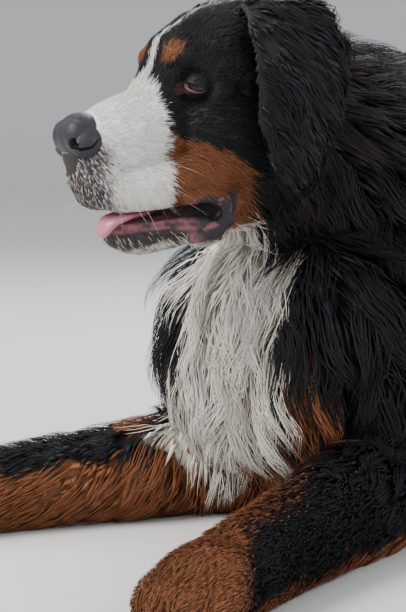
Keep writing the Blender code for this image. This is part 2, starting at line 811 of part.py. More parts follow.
def lay_lock(tree, root, coat, thickness, rng):
    """One flat tapered lock: its root is sunk in the core, it follows the lie of the
    coat over the surface and its tip reaches the outside of the coat."""
    _, depth, hair = coat(root)
    outer = depth * (1.0 - CORE_SHARE)
    length = min(LOCK_LONGEST, max(LOCK_SHORTEST, hair * LOCK_REACH)) * rng.uniform(0.9, 1.1)
    half_width = length * LOCK_SLENDER * rng.uniform(0.92, 1.1)
    bend = rng.uniform(-0.45, 0.45)
    swing = rng.uniform(-0.15, 0.15)
    bm = bmesh.new()
    rings = []
    here = root.copy()
    old_way = None
    last = len(LOCK_PROFILE) - 1
    for index, (share, wide, lift) in enumerate(LOCK_PROFILE):
        spot, normal, _, _ = tree.find_nearest(here)
        lie, _, _ = coat(spot)
        way = (lie - normal * lie.dot(normal)).normalized()
        way.rotate(Matrix.Rotation(swing + bend * math.sin(share * 4.5), 3, normal))
        if old_way is not None:
            way = (way + old_way * 0.7).normalized()
        old_way = way.copy()
        side = normal.cross(way).normalized()
        up = way.cross(side).normalized()
        height = thickness * max(wide, 0.18)
        rise = -min(LOCK_SINK, depth * 0.6) if index == 0 else outer * lift
        centre = spot + normal * rise
        centre.z = max(centre.z, height * 0.5 + 0.0015)
        rings.append(add_ring(bm, centre, side, up, half_width * wide, height, LOCK_SIDES))
        if index < last:
            here = spot + way * length * (LOCK_PROFILE[index + 1][0] - share)
    bridge_rings(bm, rings)
    return add_object("lock", bm)


def scatter_roots(item, spacing, allowed, rng):
    """Evenly spread points on a surface, no two closer than the spacing there."""
    bm = bmesh.new()
    bm.from_mesh(item.data)
    bmesh.ops.triangulate(bm, faces=bm.faces[:])
    corners = [[vert.co.copy() for vert in face.verts] for face in bm.faces]
    areas = [face.calc_area() for face in bm.faces]
    bm.free()
    roots = []
    for _ in range(SCATTER_TRIES):
        first, second, third = rng.choices(corners, areas)[0]
        along = rng.random()
        across = rng.random()
        if along + across > 1.0:
            along = 1.0 - along
            across = 1.0 - across
        point = first + (second - first) * along + (third - first) * across
        if not allowed(point):
            continue
        reach = spacing(point)
        if all((other - point).length > reach for other in roots):
            roots.append(point)
    return roots


def body_wears(point):
    """Where the body's coat is long enough for locks: not on the feet, face or underside."""
    if point.z < 0.022:
        return False
    head = head_frame().inverted() @ point
    if head.y < 0.035 and head.z > -0.145:
        return False
    _, _, hair = coat_at(point)
    return hair > LOCK_FROM_HAIR


def body_spacing(point):
    _, _, hair = coat_at(point)
    return LOCK_SPACING * (0.62 + 4.2 * hair)


def body_locks(core, rng):
    """The long locks of neck, trunk, thighs and tail."""
    bm = bmesh.new()
    bm.from_mesh(core.data)
    tree = BVHTree.FromBMesh(bm)
    bm.free()
    roots = scatter_roots(core, body_spacing, body_wears, rng)
    return [lay_lock(tree, root, coat_at, LOCK_THICKNESS, rng) for root in roots]


def ear_coat(point):
    """Lie, depth and length of the hair on an ear, in the head's own frame: it hangs."""
    return Vector((0.0, 0.25, -1.0)).normalized(), 0.007, 0.048


def ear_with_locks(mirror, grow):
    """An ear leaf with the locks of its outer side and its tip, in the head's own frame."""
    rng = random.Random(SEED)
    leaf = ear_body(mirror, 0.0)
    bm = bmesh.new()
    bm.from_mesh(leaf.data)
    tree = BVHTree.FromBMesh(bm)
    bm.free()
    roots = scatter_roots(leaf, lambda point: EAR_LOCK_SPACING, lambda point: ear_wears(point, mirror), rng)
    locks = [lay_lock(tree, root, ear_coat, EAR_LOCK_THICKNESS, rng) for root in roots]
    combine(leaf, locks, "UNION", "MANIFOLD")
    fuse(leaf, EAR_VOXEL, 1)
    thin_out(leaf, EAR_TRIANGLES)
    keep_largest(leaf)
    swell(leaf, grow)
    return leaf


def ear_wears(point, mirror):
    """The outer face of an ear below its root."""
    return point.z < 0.030 and point.x * mirror > 0.088


def thigh_frame(mirror):
    """The upright plane that parts a thigh from the flank."""
    return Matrix.Translation((0.118 * mirror, 0.25, 0)) @ Matrix.Rotation(math.radians(11.6) * mirror, 4, "Z")


def foreleg_frame(mirror):
    """A frame at the elbow whose -Y axis runs along the forearm."""
    return Matrix.Translation((0.105 * mirror, -0.225, 0)) @ Matrix.Rotation(math.radians(17.7) * mirror, 4, "Z")


def span(low, high, mirror, frame=Matrix()):
    """A box between two corners in a frame, mirrored in x when asked."""
    if mirror > 0:
        return low, high, frame
    return (-high[0], low[1], low[2]), (-low[0], high[1], high[2]), frame


def partings():
    """Each part taken off the whole animal in turn: its name, its boxes and its colour."""
    rows = [
        ("tail_tip", [span((0.205, 0.50, -0.1), (0.60, 0.90, 0.4), 1.0)], "white_coat"),
        ("tail_root", [span((-0.30, 0.53, -0.1), (0.205, 0.90, 0.4), 1.0)], "black_coat"),
    ]
    for mirror, side in ((1.0, "left"), (-1.0, "right")):
        hind_foot = span((0.128, 0.02, -0.1), (0.40, 0.52, 0.085), mirror)
        thigh = span((0.0, -0.155, 0.080), (0.30, 0.21, 0.34), mirror, thigh_frame(mirror))
        forepaw = span((-0.10, -0.60, -0.1), (0.12, -0.245, 0.105), mirror, foreleg_frame(mirror))
        forearm = span((-0.058, -0.245, -0.1), (0.12, 0.085, 0.105), mirror, foreleg_frame(mirror))
        rows.append(("hind_leg_" + side, [hind_foot, thigh], "black_coat"))
        rows.append(("forepaw_" + side, [forepaw], "rust_coat"))
        rows.append(("foreleg_" + side, [forearm], "black_coat"))
    above_head = plane_frame((0.02, -0.275, 0.37), (0.1, -0.64, 0.77))
    above_neck = plane_frame((0.0, -0.18, 0.29), (0.0, -0.67, 0.74))
    rows.append(("head", [span((-0.3, -0.3, 0.0), (0.3, 0.3, 0.5), 1.0, above_head)], "black_coat"))
    rows.append(("neck", [span((-0.3, -0.3, 0.0), (0.3, 0.3, 0.5), 1.0, above_neck)], "black_coat"))
    rows.append(("chest", [span((-0.4, -0.60, -0.1), (0.4, 0.09, 0.6), 1.0)], "white_coat"))
    return rows


def paint(item, slot):
    """Give a node its own material in the colour of its slot."""
    material = bpy.data.materials.new(item.name + "_" + slot)
    material.use_nodes = True
    shader = material.node_tree.nodes["Principled BSDF"]
    shader.inputs["Base Color"].default_value = COLOURS[slot]
    shader.inputs["Roughness"].default_value = ROUGHNESS[slot]
    item.data.materials.clear()
    item.data.materials.append(material)


def part_touching(bm):
    """Draw points that touch without being joined back into their own stretch of
    surface, so that no two stretches meet at a point."""
    bm.verts.ensure_lookup_table()
    tree = KDTree(len(bm.verts))
    for vert in bm.verts:
        tree.insert(vert.co, vert.index)
    tree.balance()
    moves = []
    for vert in bm.verts:
        joined = {edge.other_vert(vert).index for edge in vert.link_edges if edge.calc_length() > SHORTEST_EDGE}
        for _, index, _ in tree.find_range(vert.co, TOUCH_LIMIT):
            if index == vert.index or index in joined:
                continue
            around = [edge.other_vert(vert).co - vert.co for edge in vert.link_edges]
            moves.append((vert, sum(around, Vector()).normalized() * TOUCH_MOVE))
    for vert, move in moves:
        vert.co += move


def relax_folds(item):
    """Open places where the surface folds flat onto itself, by easing their points."""
    bm = bmesh.new()
    bm.from_mesh(item.data)
    for _ in range(FOLD_ROUNDS):
        bm.normal_update()
        folds = [edge for edge in bm.edges if edge.calc_face_angle(0.0) > FOLD_LIMIT]
        points = {vert for edge in folds for vert in edge.verts}
        moves = []
        for vert in points:
            around = [edge.other_vert(vert).co for edge in vert.link_edges]
            moves.append((vert, sum(around, Vector()) / len(around)))
        for vert, middle in moves:
            vert.co = vert.co.lerp(middle, 0.3)
    bm.to_mesh(item.data)
    bm.free()


def close_short_edges(bm):
    """Collapse edges too short to matter, where that leaves the surface whole."""
    short = [edge for edge in bm.edges if edge.calc_length() < SHORTEST_EDGE]
    for edge in short:
        if not edge.is_valid:
            continue
        first, second = [{near.other_vert(vert) for near in vert.link_edges} for vert in edge.verts]
        if len(first & second) == 2:
            bmesh.ops.collapse(bm, edges=[edge])


def finish_mesh(item):
    """Three-sided faces, no points that touch or nearly meet, smooth shading."""
    bm = bmesh.new()
    bm.from_mesh(item.data)
    bmesh.ops.triangulate(bm, faces=bm.faces[:])
    close_short_edges(bm)
    part_touching(bm)
    for face in bm.faces:
        face.smooth = True
    for edge in bm.edges:
        edge.smooth = edge.calc_face_angle(0.0) < SHARP_EDGE
    bm.to_mesh(item.data)
    bm.free()


def face_details():
    """The head with the rims of its lids, in the head's own frame."""
    head = head_skin()
    swell(head, HEAD_FUR)
    fuse(head, HEAD_VOXEL, 2)
    for mirror in (1.0, -1.0):
        drape_lids(head, mirror)
    thin_out(head, HEAD_TRIANGLES)
    combine(head, [lid_ring(1.0), lid_ring(-1.0)], "UNION", "MANIFOLD")
    return head


def head_cutters():
    """What is taken out of the head: mouth, sockets, and the beds of nose, tongue and ears."""
    cutters = [mouth_cutter(), nose_body(FIT_GROW), tongue_body(FIT_GROW)]
    for mirror in (1.0, -1.0):
        cutters.append(lid_opening(mirror))
        cutters.append(eyeball(mirror, FIT_GROW))
        cutters.append(ear_with_locks(mirror, FIT_GROW))
    for cutter in cutters:
        place_in_head(cutter)
    return cutters


def main():
    clear_scene()
    rng = random.Random(SEED)

    whole = body_skin()
    push_out(whole, CORE_SHARE)
    fuse(whole, BODY_VOXEL, 3)
    thin_out(whole, BODY_TRIANGLES)
    combine(whole, body_locks(whole, rng), "UNION", "MANIFOLD")
    thin_out(whole, COAT_TRIANGLES)
    relax_folds(whole)
    pieces = [face_details()]
    place_in_head(pieces[0])
    for mirror in (1.0, -1.0):
        for stations, scale in ((FOREARM, 1.0), (METATARSUS, 0.86)):
            bm = bmesh.new()
            toe_claws(bm, *paw_frame(stations, mirror), scale)
            pieces.append(add_object("claws", bm))
    combine(whole, pieces, "UNION", "MANIFOLD")

    cut(whole, [box_cutter("floor", (-1, -1.2, -0.4), (1, 1.2, 0.0))] + head_cutters())

    nodes = []
    for name, boxes, slot in partings():
        nodes.append((part_off(whole, name, boxes), slot))
    whole.name = "hindquarters"
    nodes.append((whole, "black_coat"))

    nose = nose_body(0.0)
    cut(nose, nostril_cutters())
    tongue = tongue_body(0.0)
    for item, name, slot in ((nose, "nose", "nose_leather"), (tongue, "tongue", "tongue_pink")):
        place_in_head(item)
        item.name = name
        nodes.append((item, slot))
    for mirror, side in ((1.0, "left"), (-1.0, "right")):
        ear = ear_with_locks(mirror, 0.0)
        place_in_head(ear)
        ear.name = "ear_" + side
        nodes.append((ear, "black_coat"))
        eye = eyeball(mirror, 0.0)
        place_in_head(eye)
        eye.name = "eye_" + side
        nodes.append((eye, "eye_gloss"))
    for item, slot in nodes:
        finish_mesh(item)
        paint(item, slot)


if __name__ == "__main__":
    main()
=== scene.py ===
# %% [markdown]
# # A life-size mountain dog at rest
# A museum model of a big long-coated dog lies on its brisket with both forelegs ahead.
# The solids of the frame fix its size and pose. Over them goes one skin, and on the skin
# grows the coat, lock by lock, the way a taxidermist's model is dressed.

import math
import random

import bmesh
import bpy
import numpy as np
from mathutils import Matrix, Vector
from mathutils.bvhtree import BVHTree
from mathutils.kdtree import KDTree
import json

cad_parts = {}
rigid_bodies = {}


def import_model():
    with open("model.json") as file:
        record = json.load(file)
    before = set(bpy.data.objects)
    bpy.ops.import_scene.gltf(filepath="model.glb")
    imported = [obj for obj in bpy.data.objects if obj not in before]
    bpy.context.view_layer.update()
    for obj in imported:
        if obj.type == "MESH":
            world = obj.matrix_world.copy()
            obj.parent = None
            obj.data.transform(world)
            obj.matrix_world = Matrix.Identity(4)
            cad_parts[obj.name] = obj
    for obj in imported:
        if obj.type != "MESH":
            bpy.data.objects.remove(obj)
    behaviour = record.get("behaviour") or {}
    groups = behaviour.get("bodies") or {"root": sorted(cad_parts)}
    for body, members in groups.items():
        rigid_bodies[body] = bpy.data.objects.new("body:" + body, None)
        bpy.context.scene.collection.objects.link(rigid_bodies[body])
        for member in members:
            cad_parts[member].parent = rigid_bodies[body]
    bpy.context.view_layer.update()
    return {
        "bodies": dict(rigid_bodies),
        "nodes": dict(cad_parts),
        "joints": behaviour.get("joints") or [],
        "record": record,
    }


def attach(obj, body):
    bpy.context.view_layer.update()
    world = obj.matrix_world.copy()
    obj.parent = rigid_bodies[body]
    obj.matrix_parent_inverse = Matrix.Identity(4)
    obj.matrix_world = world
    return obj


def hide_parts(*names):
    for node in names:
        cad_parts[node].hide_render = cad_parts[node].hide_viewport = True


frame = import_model()

# %% [markdown]
# ## Camera
# A portrait is taken from the dog's eye level a couple of metres away. The lens is long,
# so the muzzle doesn't swell. Everything else is judged from this view.

# %% Camera
CAMERA_PLACE = Vector((1.215, -1.560, 0.386))
CAMERA_DROP = math.radians(5.75)
CAMERA_LENS = 114.7
SENSOR_WIDTH = 36.0

lens = bpy.data.cameras.new("Camera")
lens.lens = CAMERA_LENS
lens.sensor_width = SENSOR_WIDTH
camera = bpy.data.objects.new("Camera", lens)
bpy.context.scene.collection.objects.link(camera)
level_share = math.sqrt(0.5) * math.cos(CAMERA_DROP)
ahead = Vector((-level_share, level_share, -math.sin(CAMERA_DROP)))
camera.location = CAMERA_PLACE
camera.rotation_euler = ahead.to_track_quat("-Z", "Y").to_euler()
bpy.context.scene.camera = camera
print("camera at", [round(v, 3) for v in CAMERA_PLACE])

# %% [markdown]
# ## Measures
# The skin follows the same rings as the solids: a trunk, a neck, four folded legs, a
# tail, and a head in a frame of its own that is turned and lowered on the neck.

# %% Measures
CM = 0.01
HALF_CM = 0.005
SIDES = (1.0, -1.0)
BODY_VOXEL = 0.0055
HEAD_VOXEL = 0.0019
EAR_VOXEL = 0.0016
NOSE_VOXEL = 0.0009
BODY_SOFTEN = 10
HEAD_SOFTEN = 9
EAR_SOFTEN = 2
NOSE_SOFTEN = 12
HEAD_ORIGIN = Vector((0.0, -0.379, 0.406))
HEAD_TURN = math.radians(-17.0)
HEAD_DROP = math.radians(11.0)
EYE_RADIUS = 0.0115
EYE = (3.75, -0.40, 0.0)
EYE_TURN = math.radians(38.0)
LID_THICKNESS = 0.0014
LID_REACH = 0.0090
LID_FADE = 0.0210
LID_LEAST = 0.003
LID_HALF_WIDTH = 0.0102
LID_UPPER = 0.0030
LID_LOWER = 0.0040
LID_TILT = -0.42
EAR_INSET = 0.0008
EAR_CUP = 0.55
TAIL_DEPTH = 0.034
TAIL_HAIR = 0.085
TAIL_WAVE = 0.7
TAIL_START = 0.525
TAIL_SIDE = Vector((0.6, -0.75, 0.1))
FOLD_SIDE = Vector((0.9, 0.1, 0.3))

# Rings of the body in metres: x, y, z, half width, half height
TRUNK = (
    (0, -0.260, 0.215, 0.042, 0.060),
    (0, -0.232, 0.200, 0.078, 0.112),
    (0, -0.185, 0.190, 0.112, 0.165),
    (0, -0.110, 0.190, 0.134, 0.193),
    (0, 0.000, 0.182, 0.145, 0.189),
    (0, 0.120, 0.176, 0.143, 0.180),
    (0, 0.240, 0.178, 0.125, 0.172),
    (0, 0.340, 0.182, 0.118, 0.158),
    (0, 0.420, 0.178, 0.104, 0.125),
    (0, 0.465, 0.165, 0.065, 0.075),
)
NECK = (
    (0, -0.070, 0.240, 0.116, 0.146),
    (0, -0.145, 0.300, 0.104, 0.132),
    (0.006, -0.210, 0.343, 0.090, 0.106),
    (0.012, -0.258, 0.372, 0.072, 0.080),
)
UPPER_ARM = (
    (0.085, -0.215, 0.205, 0.048, 0.055),
    (0.108, -0.205, 0.125, 0.050, 0.056),
    (0.112, -0.200, 0.058, 0.045, 0.048),
)
FOREARM = (
    (0.098, -0.165, 0.048, 0.038, 0.042),
    (0.110, -0.225, 0.046, 0.045, 0.049),
    (0.145, -0.345, 0.040, 0.038, 0.042),
    (0.180, -0.460, 0.035, 0.033, 0.037),
    (0.195, -0.510, 0.032, 0.038, 0.034),
)
THIGH = (
    (0.095, 0.380, 0.210, 0.075, 0.105),
    (0.130, 0.310, 0.185, 0.080, 0.110),
    (0.165, 0.230, 0.150, 0.062, 0.088),
    (0.182, 0.165, 0.130, 0.045, 0.060),
)
SHANK = (
    (0.182, 0.175, 0.120, 0.045, 0.055),
    (0.182, 0.270, 0.090, 0.045, 0.055),
    (0.180, 0.360, 0.060, 0.034, 0.042),
    (0.180, 0.405, 0.040, 0.028, 0.036),
)
METATARSUS = (
    (0.182, 0.415, 0.036, 0.026, 0.036),
    (0.192, 0.330, 0.030, 0.027, 0.030),
    (0.204, 0.220, 0.028, 0.029, 0.028),
    (0.210, 0.165, 0.028, 0.034, 0.029),
)
TAIL = (
    (0.000, 0.430, 0.180, 0.038, 0.038),
    (0.015, 0.500, 0.120, 0.034, 0.034),
    (0.045, 0.570, 0.062, 0.030, 0.030),
    (0.090, 0.630, 0.038, 0.027, 0.027),
    (0.160, 0.668, 0.032, 0.024, 0.024),
    (0.250, 0.672, 0.030, 0.020, 0.020),
    (0.330, 0.640, 0.028, 0.015, 0.015),
    (0.380, 0.590, 0.026, 0.010, 0.010),
)
# Rings of the head in centimetres: x, forward, up, half width, half height
SKULL = (
    (0, -12.5, 0.0, 3.0, 3.2),
    (0, -10.5, 0.2, 5.4, 5.0),
    (0, -7.0, 0.3, 6.8, 5.8),
    (0, -3.5, 0.1, 6.8, 6.0),
    (0, -0.6, -0.4, 5.1, 5.1),
    (0, 1.1, -1.3, 4.0, 3.6),
    (0, 2.6, -2.3, 3.7, 3.0),
)
MUZZLE = (
    (0, 0.5, -3.3, 4.4, 4.2),
    (0, 3.2, -3.4, 4.1, 4.0),
    (0, 6.6, -4.0, 3.7, 4.0),
    (0, 8.2, -4.5, 3.1, 3.8),
    (0, 9.0, -5.5, 2.6, 3.1),
    (0, 9.4, -6.1, 2.0, 2.3),
)
FLEW = (
    (0.9, 9.4, -7.1, 1.4, 1.5),
    (2.3, 8.2, -7.5, 1.4, 1.7),
    (3.3, 5.5, -7.6, 1.4, 1.9),
    (4.1, 2.4, -7.5, 1.4, 2.0),
    (4.6, -0.4, -7.2, 1.5, 2.2),
)
JAW = (
    (0, 7.8, -11.3, 1.9, 1.4),
    (0, 6.4, -11.6, 2.6, 1.8),
    (0, 3.8, -11.5, 3.2, 2.0),
    (0, 0.5, -10.8, 4.1, 2.3),
    (0, -3.0, -9.2, 4.9, 3.3),
    (0, -6.5, -7.2, 5.1, 4.2),
)
LOWER_LIP = (
    (4.6, 1.6, -11.6, 0.6, 0.7),
    (4.0, 4.0, -11.1, 0.6, 0.7),
    (2.9, 6.6, -10.7, 0.6, 0.7),
    (1.2, 8.6, -10.5, 0.6, 0.7),
)
CORNER_FOLD = (
    (4.9, 3.2, -9.0, 0.5, 0.6),
    (5.4, 1.3, -9.1, 0.6, 0.7),
    (5.6, 0.0, -9.9, 0.6, 0.7),
    (5.4, -0.1, -11.3, 0.6, 0.7),
    (4.9, 1.2, -12.4, 0.7, 0.8),
    (4.3, 3.0, -12.7, 0.6, 0.6),
)
HEAD_MASSES = (
    (3.6, -3.0, -4.6, 3.4, 5.2, 4.8),
    (2.5, -0.1, 2.5, 2.0, 1.8, 1.3),
    (4.2, -2.2, -0.8, 2.0, 3.0, 2.2),
    (3.0, -5.0, 2.6, 3.4, 4.8, 2.8),
    (1.6, 8.6, -6.0, 1.7, 1.9, 2.0),
)
HEAD_DENTS = (
    (3.9, 1.2, 0.1, 2.0, 0.25),
    (0.0, 2.2, 2.2, 1.6, 0.25),
    (0.0, -1.5, 6.4, 1.6, 0.20),
)
LIP_LINE = (
    (5.8, 0.6, -10.4, 0.9, 0.14),
    (5.1, 1.9, -10.3, 1.2, 0.42),
    (4.4, 3.6, -10.1, 1.3, 0.50),
    (3.6, 6.4, -10.0, 1.4, 0.50),
    (2.4, 8.7, -9.8, 1.4, 0.55),
    (0.9, 10.1, -9.6, 1.5, 0.62),
)
# The ear's rings, with its whole thickness in place of half its height
EAR = (
    (2.8, -7.2, 3.6, 2.2, 1.6),
    (4.4, -7.6, 5.4, 2.8, 1.5),
    (6.3, -7.9, 5.4, 3.6, 1.2),
    (7.8, -7.9, 4.0, 4.2, 0.9),
    (8.7, -7.9, 1.5, 4.4, 0.8),
    (9.1, -7.2, -1.6, 4.4, 0.75),
    (9.1, -6.4, -4.6, 4.0, 0.70),
    (8.9, -5.9, -7.4, 2.9, 0.60),
    (8.8, -5.9, -9.4, 1.9, 0.50),
    (8.75, -5.9, -10.1, 0.6, 0.35),
)
NOSTRIL = (
    (2.75, 12.3, -3.00, 0.62, 0.50),
    (1.95, 11.2, -2.70, 0.58, 0.48),
    (1.20, 10.1, -2.40, 0.28, 0.28),
)
NOSTRIL_SLIT = (
    (1.7, 11.45, -2.95, 0.45, 0.16),
    (2.45, 10.9, -3.30, 0.50, 0.16),
    (2.95, 10.0, -3.25, 0.45, 0.14),
    (3.05, 9.3, -2.7, 0.35, 0.10),
)
TONGUE = (
    (0.3, 4.6, -9.95, 1.2, 0.30),
    (0.7, 6.8, -9.80, 1.5, 0.42),
    (1.0, 8.3, -9.75, 1.8, 0.58),
    (1.1, 9.3, -10.05, 1.6, 0.62),
    (1.2, 9.8, -10.75, 1.15, 0.46),
)

# Limbs with the points round each ring, and feet with their scale
LIMBS = ((UPPER_ARM, 14), (FOREARM, 14), (THIGH, 16), (SHANK, 14), (METATARSUS, 14))
FEET = ((FOREARM, 1.0), (METATARSUS, 0.86))

# Shoulder, breast and thigh: x, y, z and half sizes in metres
BODY_MASSES = (
    (0.072, -0.13, 0.245, 0.066, 0.10, 0.12),
    (0.060, -0.245, 0.17, 0.055, 0.055, 0.10),
    (0.075, 0.34, 0.21, 0.075, 0.11, 0.12),
)

# Toes: sideways, ahead, share of the height, and how far ahead the claw starts
TOES = (
    (-0.030, 0.058, 0.94, 0.080),
    (-0.0105, 0.078, 1.0, 0.100),
    (0.0105, 0.078, 1.0, 0.100),
    (0.030, 0.058, 0.94, 0.080),
)
TOE_SPLAY = 4.0
PAW_SIZE = (0.050, 0.040, 0.033)
TOE_SIZE = (0.030, 0.0128, 0.0235)
CLAW_LENGTH = 0.018
CLAW_RADIUS = 0.0042
CLAW_BEND = 0.35

# Body guides in metres: x, y, z, lie (x, y, z), depth, hair
COAT = (
    (0.00, -0.10, 0.39, 0.0, 1.0, -0.1, 0.035, 0.080),
    (0.00, 0.10, 0.36, 0.0, 1.0, 0.0, 0.028, 0.070),
    (0.00, 0.28, 0.35, 0.0, 1.0, 0.0, 0.028, 0.070),
    (0.00, 0.42, 0.30, 0.0, 0.8, -0.6, 0.030, 0.075),
    (0.00, 0.47, 0.17, 0.0, 0.1, -1.0, 0.045, 0.090),
    (0.14, -0.10, 0.22, 0.05, 0.6, -0.8, 0.035, 0.075),
    (0.14, 0.08, 0.18, 0.0, 0.8, -0.6, 0.032, 0.075),
    (0.12, 0.25, 0.16, 0.0, 0.8, -0.6, 0.030, 0.070),
    (0.12, 0.05, 0.05, 0.0, 0.7, -0.4, 0.018, 0.055),
    (0.00, -0.29, 0.20, 0.0, -0.15, -1.0, 0.050, 0.110),
    (0.00, -0.27, 0.08, 0.0, -0.10, -1.0, 0.040, 0.090),
    (0.09, -0.26, 0.20, 0.2, 0.10, -1.0, 0.045, 0.100),
    (0.13, -0.22, 0.18, 0.1, 0.30, -1.0, 0.038, 0.080),
    (0.00, -0.29, 0.28, 0.0, -0.10, -1.0, 0.045, 0.100),
    (0.10, -0.20, 0.33, 0.1, 0.60, -0.8, 0.045, 0.100),
    (0.00, -0.19, 0.43, 0.0, 0.90, -0.45, 0.038, 0.090),
    (0.14, -0.16, 0.09, 0.1, -0.20, -0.8, 0.020, 0.060),
    (0.17, -0.25, 0.06, 0.3, -0.95, -0.1, 0.012, 0.035),
    (0.19, -0.33, 0.05, 0.3, -0.95, -0.1, 0.008, 0.022),
    (0.216, -0.42, 0.04, 0.25, -0.96, -0.1, 0.007, 0.016),
    (0.25, -0.54, 0.03, 0.25, -0.96, -0.1, 0.005, 0.012),
    (0.16, 0.32, 0.24, 0.2, 0.4, -0.9, 0.030, 0.070),
    (0.20, 0.20, 0.16, 0.1, -0.1, -1.0, 0.018, 0.045),
    (0.18, 0.42, 0.05, 0.0, 0.5, -0.7, 0.022, 0.055),
    (0.205, 0.28, 0.03, 0.0, -1.0, -0.1, 0.008, 0.018),
    (0.210, 0.10, 0.03, 0.0, -1.0, -0.1, 0.005, 0.012),
    (0.07, 0.49, 0.17, 0.1, 0.2, -1.0, 0.042, 0.090),
    (0.12, 0.45, 0.11, 0.1, 0.3, -0.9, 0.038, 0.085),
)
print("trunk rings", len(TRUNK), "skull rings", len(SKULL))

# %% [markdown]
# ## Building blocks
# Limbs are tubes through ellipses and rounded masses are ellipsoids. They overlap, and a
# remesh melts them into one skin, as clay pieces are worked together by hand.

# %% Building blocks
UP = Vector((0, 0, 1))
# Rings that round off a tube: reach and size as shares of the last ring
ROUND_END = ((0.5, 0.8), (0.85, 0.45))
def settle(item):
    """Replace the mesh with the result of the modifiers and drop them."""
    graph = bpy.context.evaluated_depsgraph_get()
    mesh = bpy.data.meshes.new_from_object(item.evaluated_get(graph), depsgraph=graph)
    item.modifiers.clear()
    item.data = mesh


def add_ring(bm, centre, side, up, width, height, sides):
    """One ellipse of points across a limb, muzzle or lock."""
    ahead = side.cross(up)
    frame = Matrix((side * width, up * height, ahead)).transposed().to_4x4()
    frame.translation = centre
    return bmesh.ops.create_circle(bm, segments=sides, radius=1.0, matrix=frame)["verts"]


def bridge_rings(bm, rings):
    """Join a row of rings into one closed body with flat ends."""
    for first, second in zip(rings, rings[1:]):
        edges = []
        for loop in (first, second):
            members = set(loop)
            touching = {edge for vert in loop for edge in vert.link_edges}
            edges.extend(edge for edge in touching if set(edge.verts) <= members)
        bmesh.ops.bridge_loops(bm, edges=edges)
    bm.faces.new(rings[0])
    bm.faces.new(rings[-1])


def join_rings(bm, rings):
    """Four-sided faces between each ring of points and the next."""
    for first, second in zip(rings, rings[1:]):
        for corner in range(len(first)):
            after = (corner + 1) % len(first)
            bm.faces.new((first[corner], first[after], second[after], second[corner]))


def round_end(centre, way, size, ahead):
    """Two shrinking rings beyond the end of a tube."""
    rows = []
    for reach, scale in ROUND_END:
        place = centre + way * min(size) * reach
        rows.append((place, size[0] * scale, size[1] * scale, ahead))
    return rows


def add_tube(bm, stations, sides=16, mirror=1.0, reference=Vector((1, 0, 0))):
    """A closed body through rings of x, y, z and half sizes, with rounded ends."""
    centres = [Vector((s[0] * mirror, s[1], s[2])) for s in stations]
    sizes = [(s[3], s[4]) for s in stations]
    last = len(centres) - 1
    start_way = (centres[0] - centres[1]).normalized()
    end_way = (centres[last] - centres[last - 1]).normalized()
    rows = round_end(centres[0], start_way, sizes[0], -start_way)[::-1]
    for index, centre in enumerate(centres):
        ahead = centres[min(index + 1, last)] - centres[max(index - 1, 0)]
        rows.append((centre, sizes[index][0], sizes[index][1], ahead.normalized()))
    rows += round_end(centres[last], end_way, sizes[last], end_way)
    rings = []
    for centre, width, height, ahead in rows:
        side = (reference - ahead * reference.dot(ahead)).normalized()
        up = ahead.cross(side).normalized()
        rings.append(add_ring(bm, centre, side, up, width, height, sides))
    bridge_rings(bm, rings)


def add_blob(bm, centre, size, turn=0.0, segments=16):
    """An ellipsoid turned about the vertical."""
    stretch = Matrix.Diagonal((*size, 1.0))
    place = Matrix.Translation(centre) @ Matrix.Rotation(turn, 4, "Z") @ stretch
    rows = segments // 2 + 2
    bmesh.ops.create_uvsphere(bm, u_segments=segments, v_segments=rows, radius=1.0, matrix=place)


def add_claw(bm, base, way, length, radius):
    """A claw: a short cone that bends down to a blunt tip."""
    side = way.cross(UP).normalized()
    rings = []
    for share, scale in ((0.0, 1.0), (0.6, 0.7), (1.0, 0.2)):
        centre = base + way * length * share - UP * length * CLAW_BEND * share * share
        up = way.cross(side).normalized()
        width = radius * scale
        rings.append(add_ring(bm, centre, side, up, width, width * 1.25, 5))
    bridge_rings(bm, rings)


def from_head(x, forward, up):
    """A point of the head's own frame, in metres, from centimetres sideways, forward and up."""
    return Vector((x, -forward, up)) * CM


def head_stations(rows, mirror=1.0):
    """Rings of the head in metres, from rows in centimetres."""
    return [(r[0] * CM * mirror, -r[1] * CM, r[2] * CM, r[3] * CM, r[4] * CM) for r in rows]


def head_frame():
    """The turned and lowered place of the head on the neck."""
    turn = Matrix.Rotation(HEAD_TURN, 4, "Z")
    drop = Matrix.Rotation(HEAD_DROP, 4, "X")
    return Matrix.Translation(HEAD_ORIGIN) @ turn @ drop


def fuse(item, voxel, steps):
    """Melt overlapping pieces into one skin and soften it."""
    remesh = item.modifiers.new("Fuse", "REMESH")
    remesh.mode = "VOXEL"
    remesh.voxel_size = voxel
    smooth = item.modifiers.new("Soften", "SMOOTH")
    smooth.factor = 0.5
    smooth.iterations = steps
    settle(item)


def dent(item, centre, reach, depth):
    """Press a soft hollow into a skin, along its own normals."""
    normals = [vert.normal.copy() for vert in item.data.vertices]
    for vert, normal in zip(item.data.vertices, normals):
        gap = (vert.co - centre).length / reach
        if gap < 3.0:
            vert.co -= normal * depth * math.exp(-gap * gap)


def swell(item, amount):
    """Move a skin out evenly along its normals."""
    normals = [vert.normal.copy() for vert in item.data.vertices]
    for vert, normal in zip(item.data.vertices, normals):
        vert.co += normal * amount


print("rings, tubes and blobs can be made")

# %% [markdown]
# ## Body and head
# A foot is a low mound with four toes before it. The body joins trunk, neck, limbs and
# tail. The head has a frame of its own, and its hollows are pressed in after the remesh.

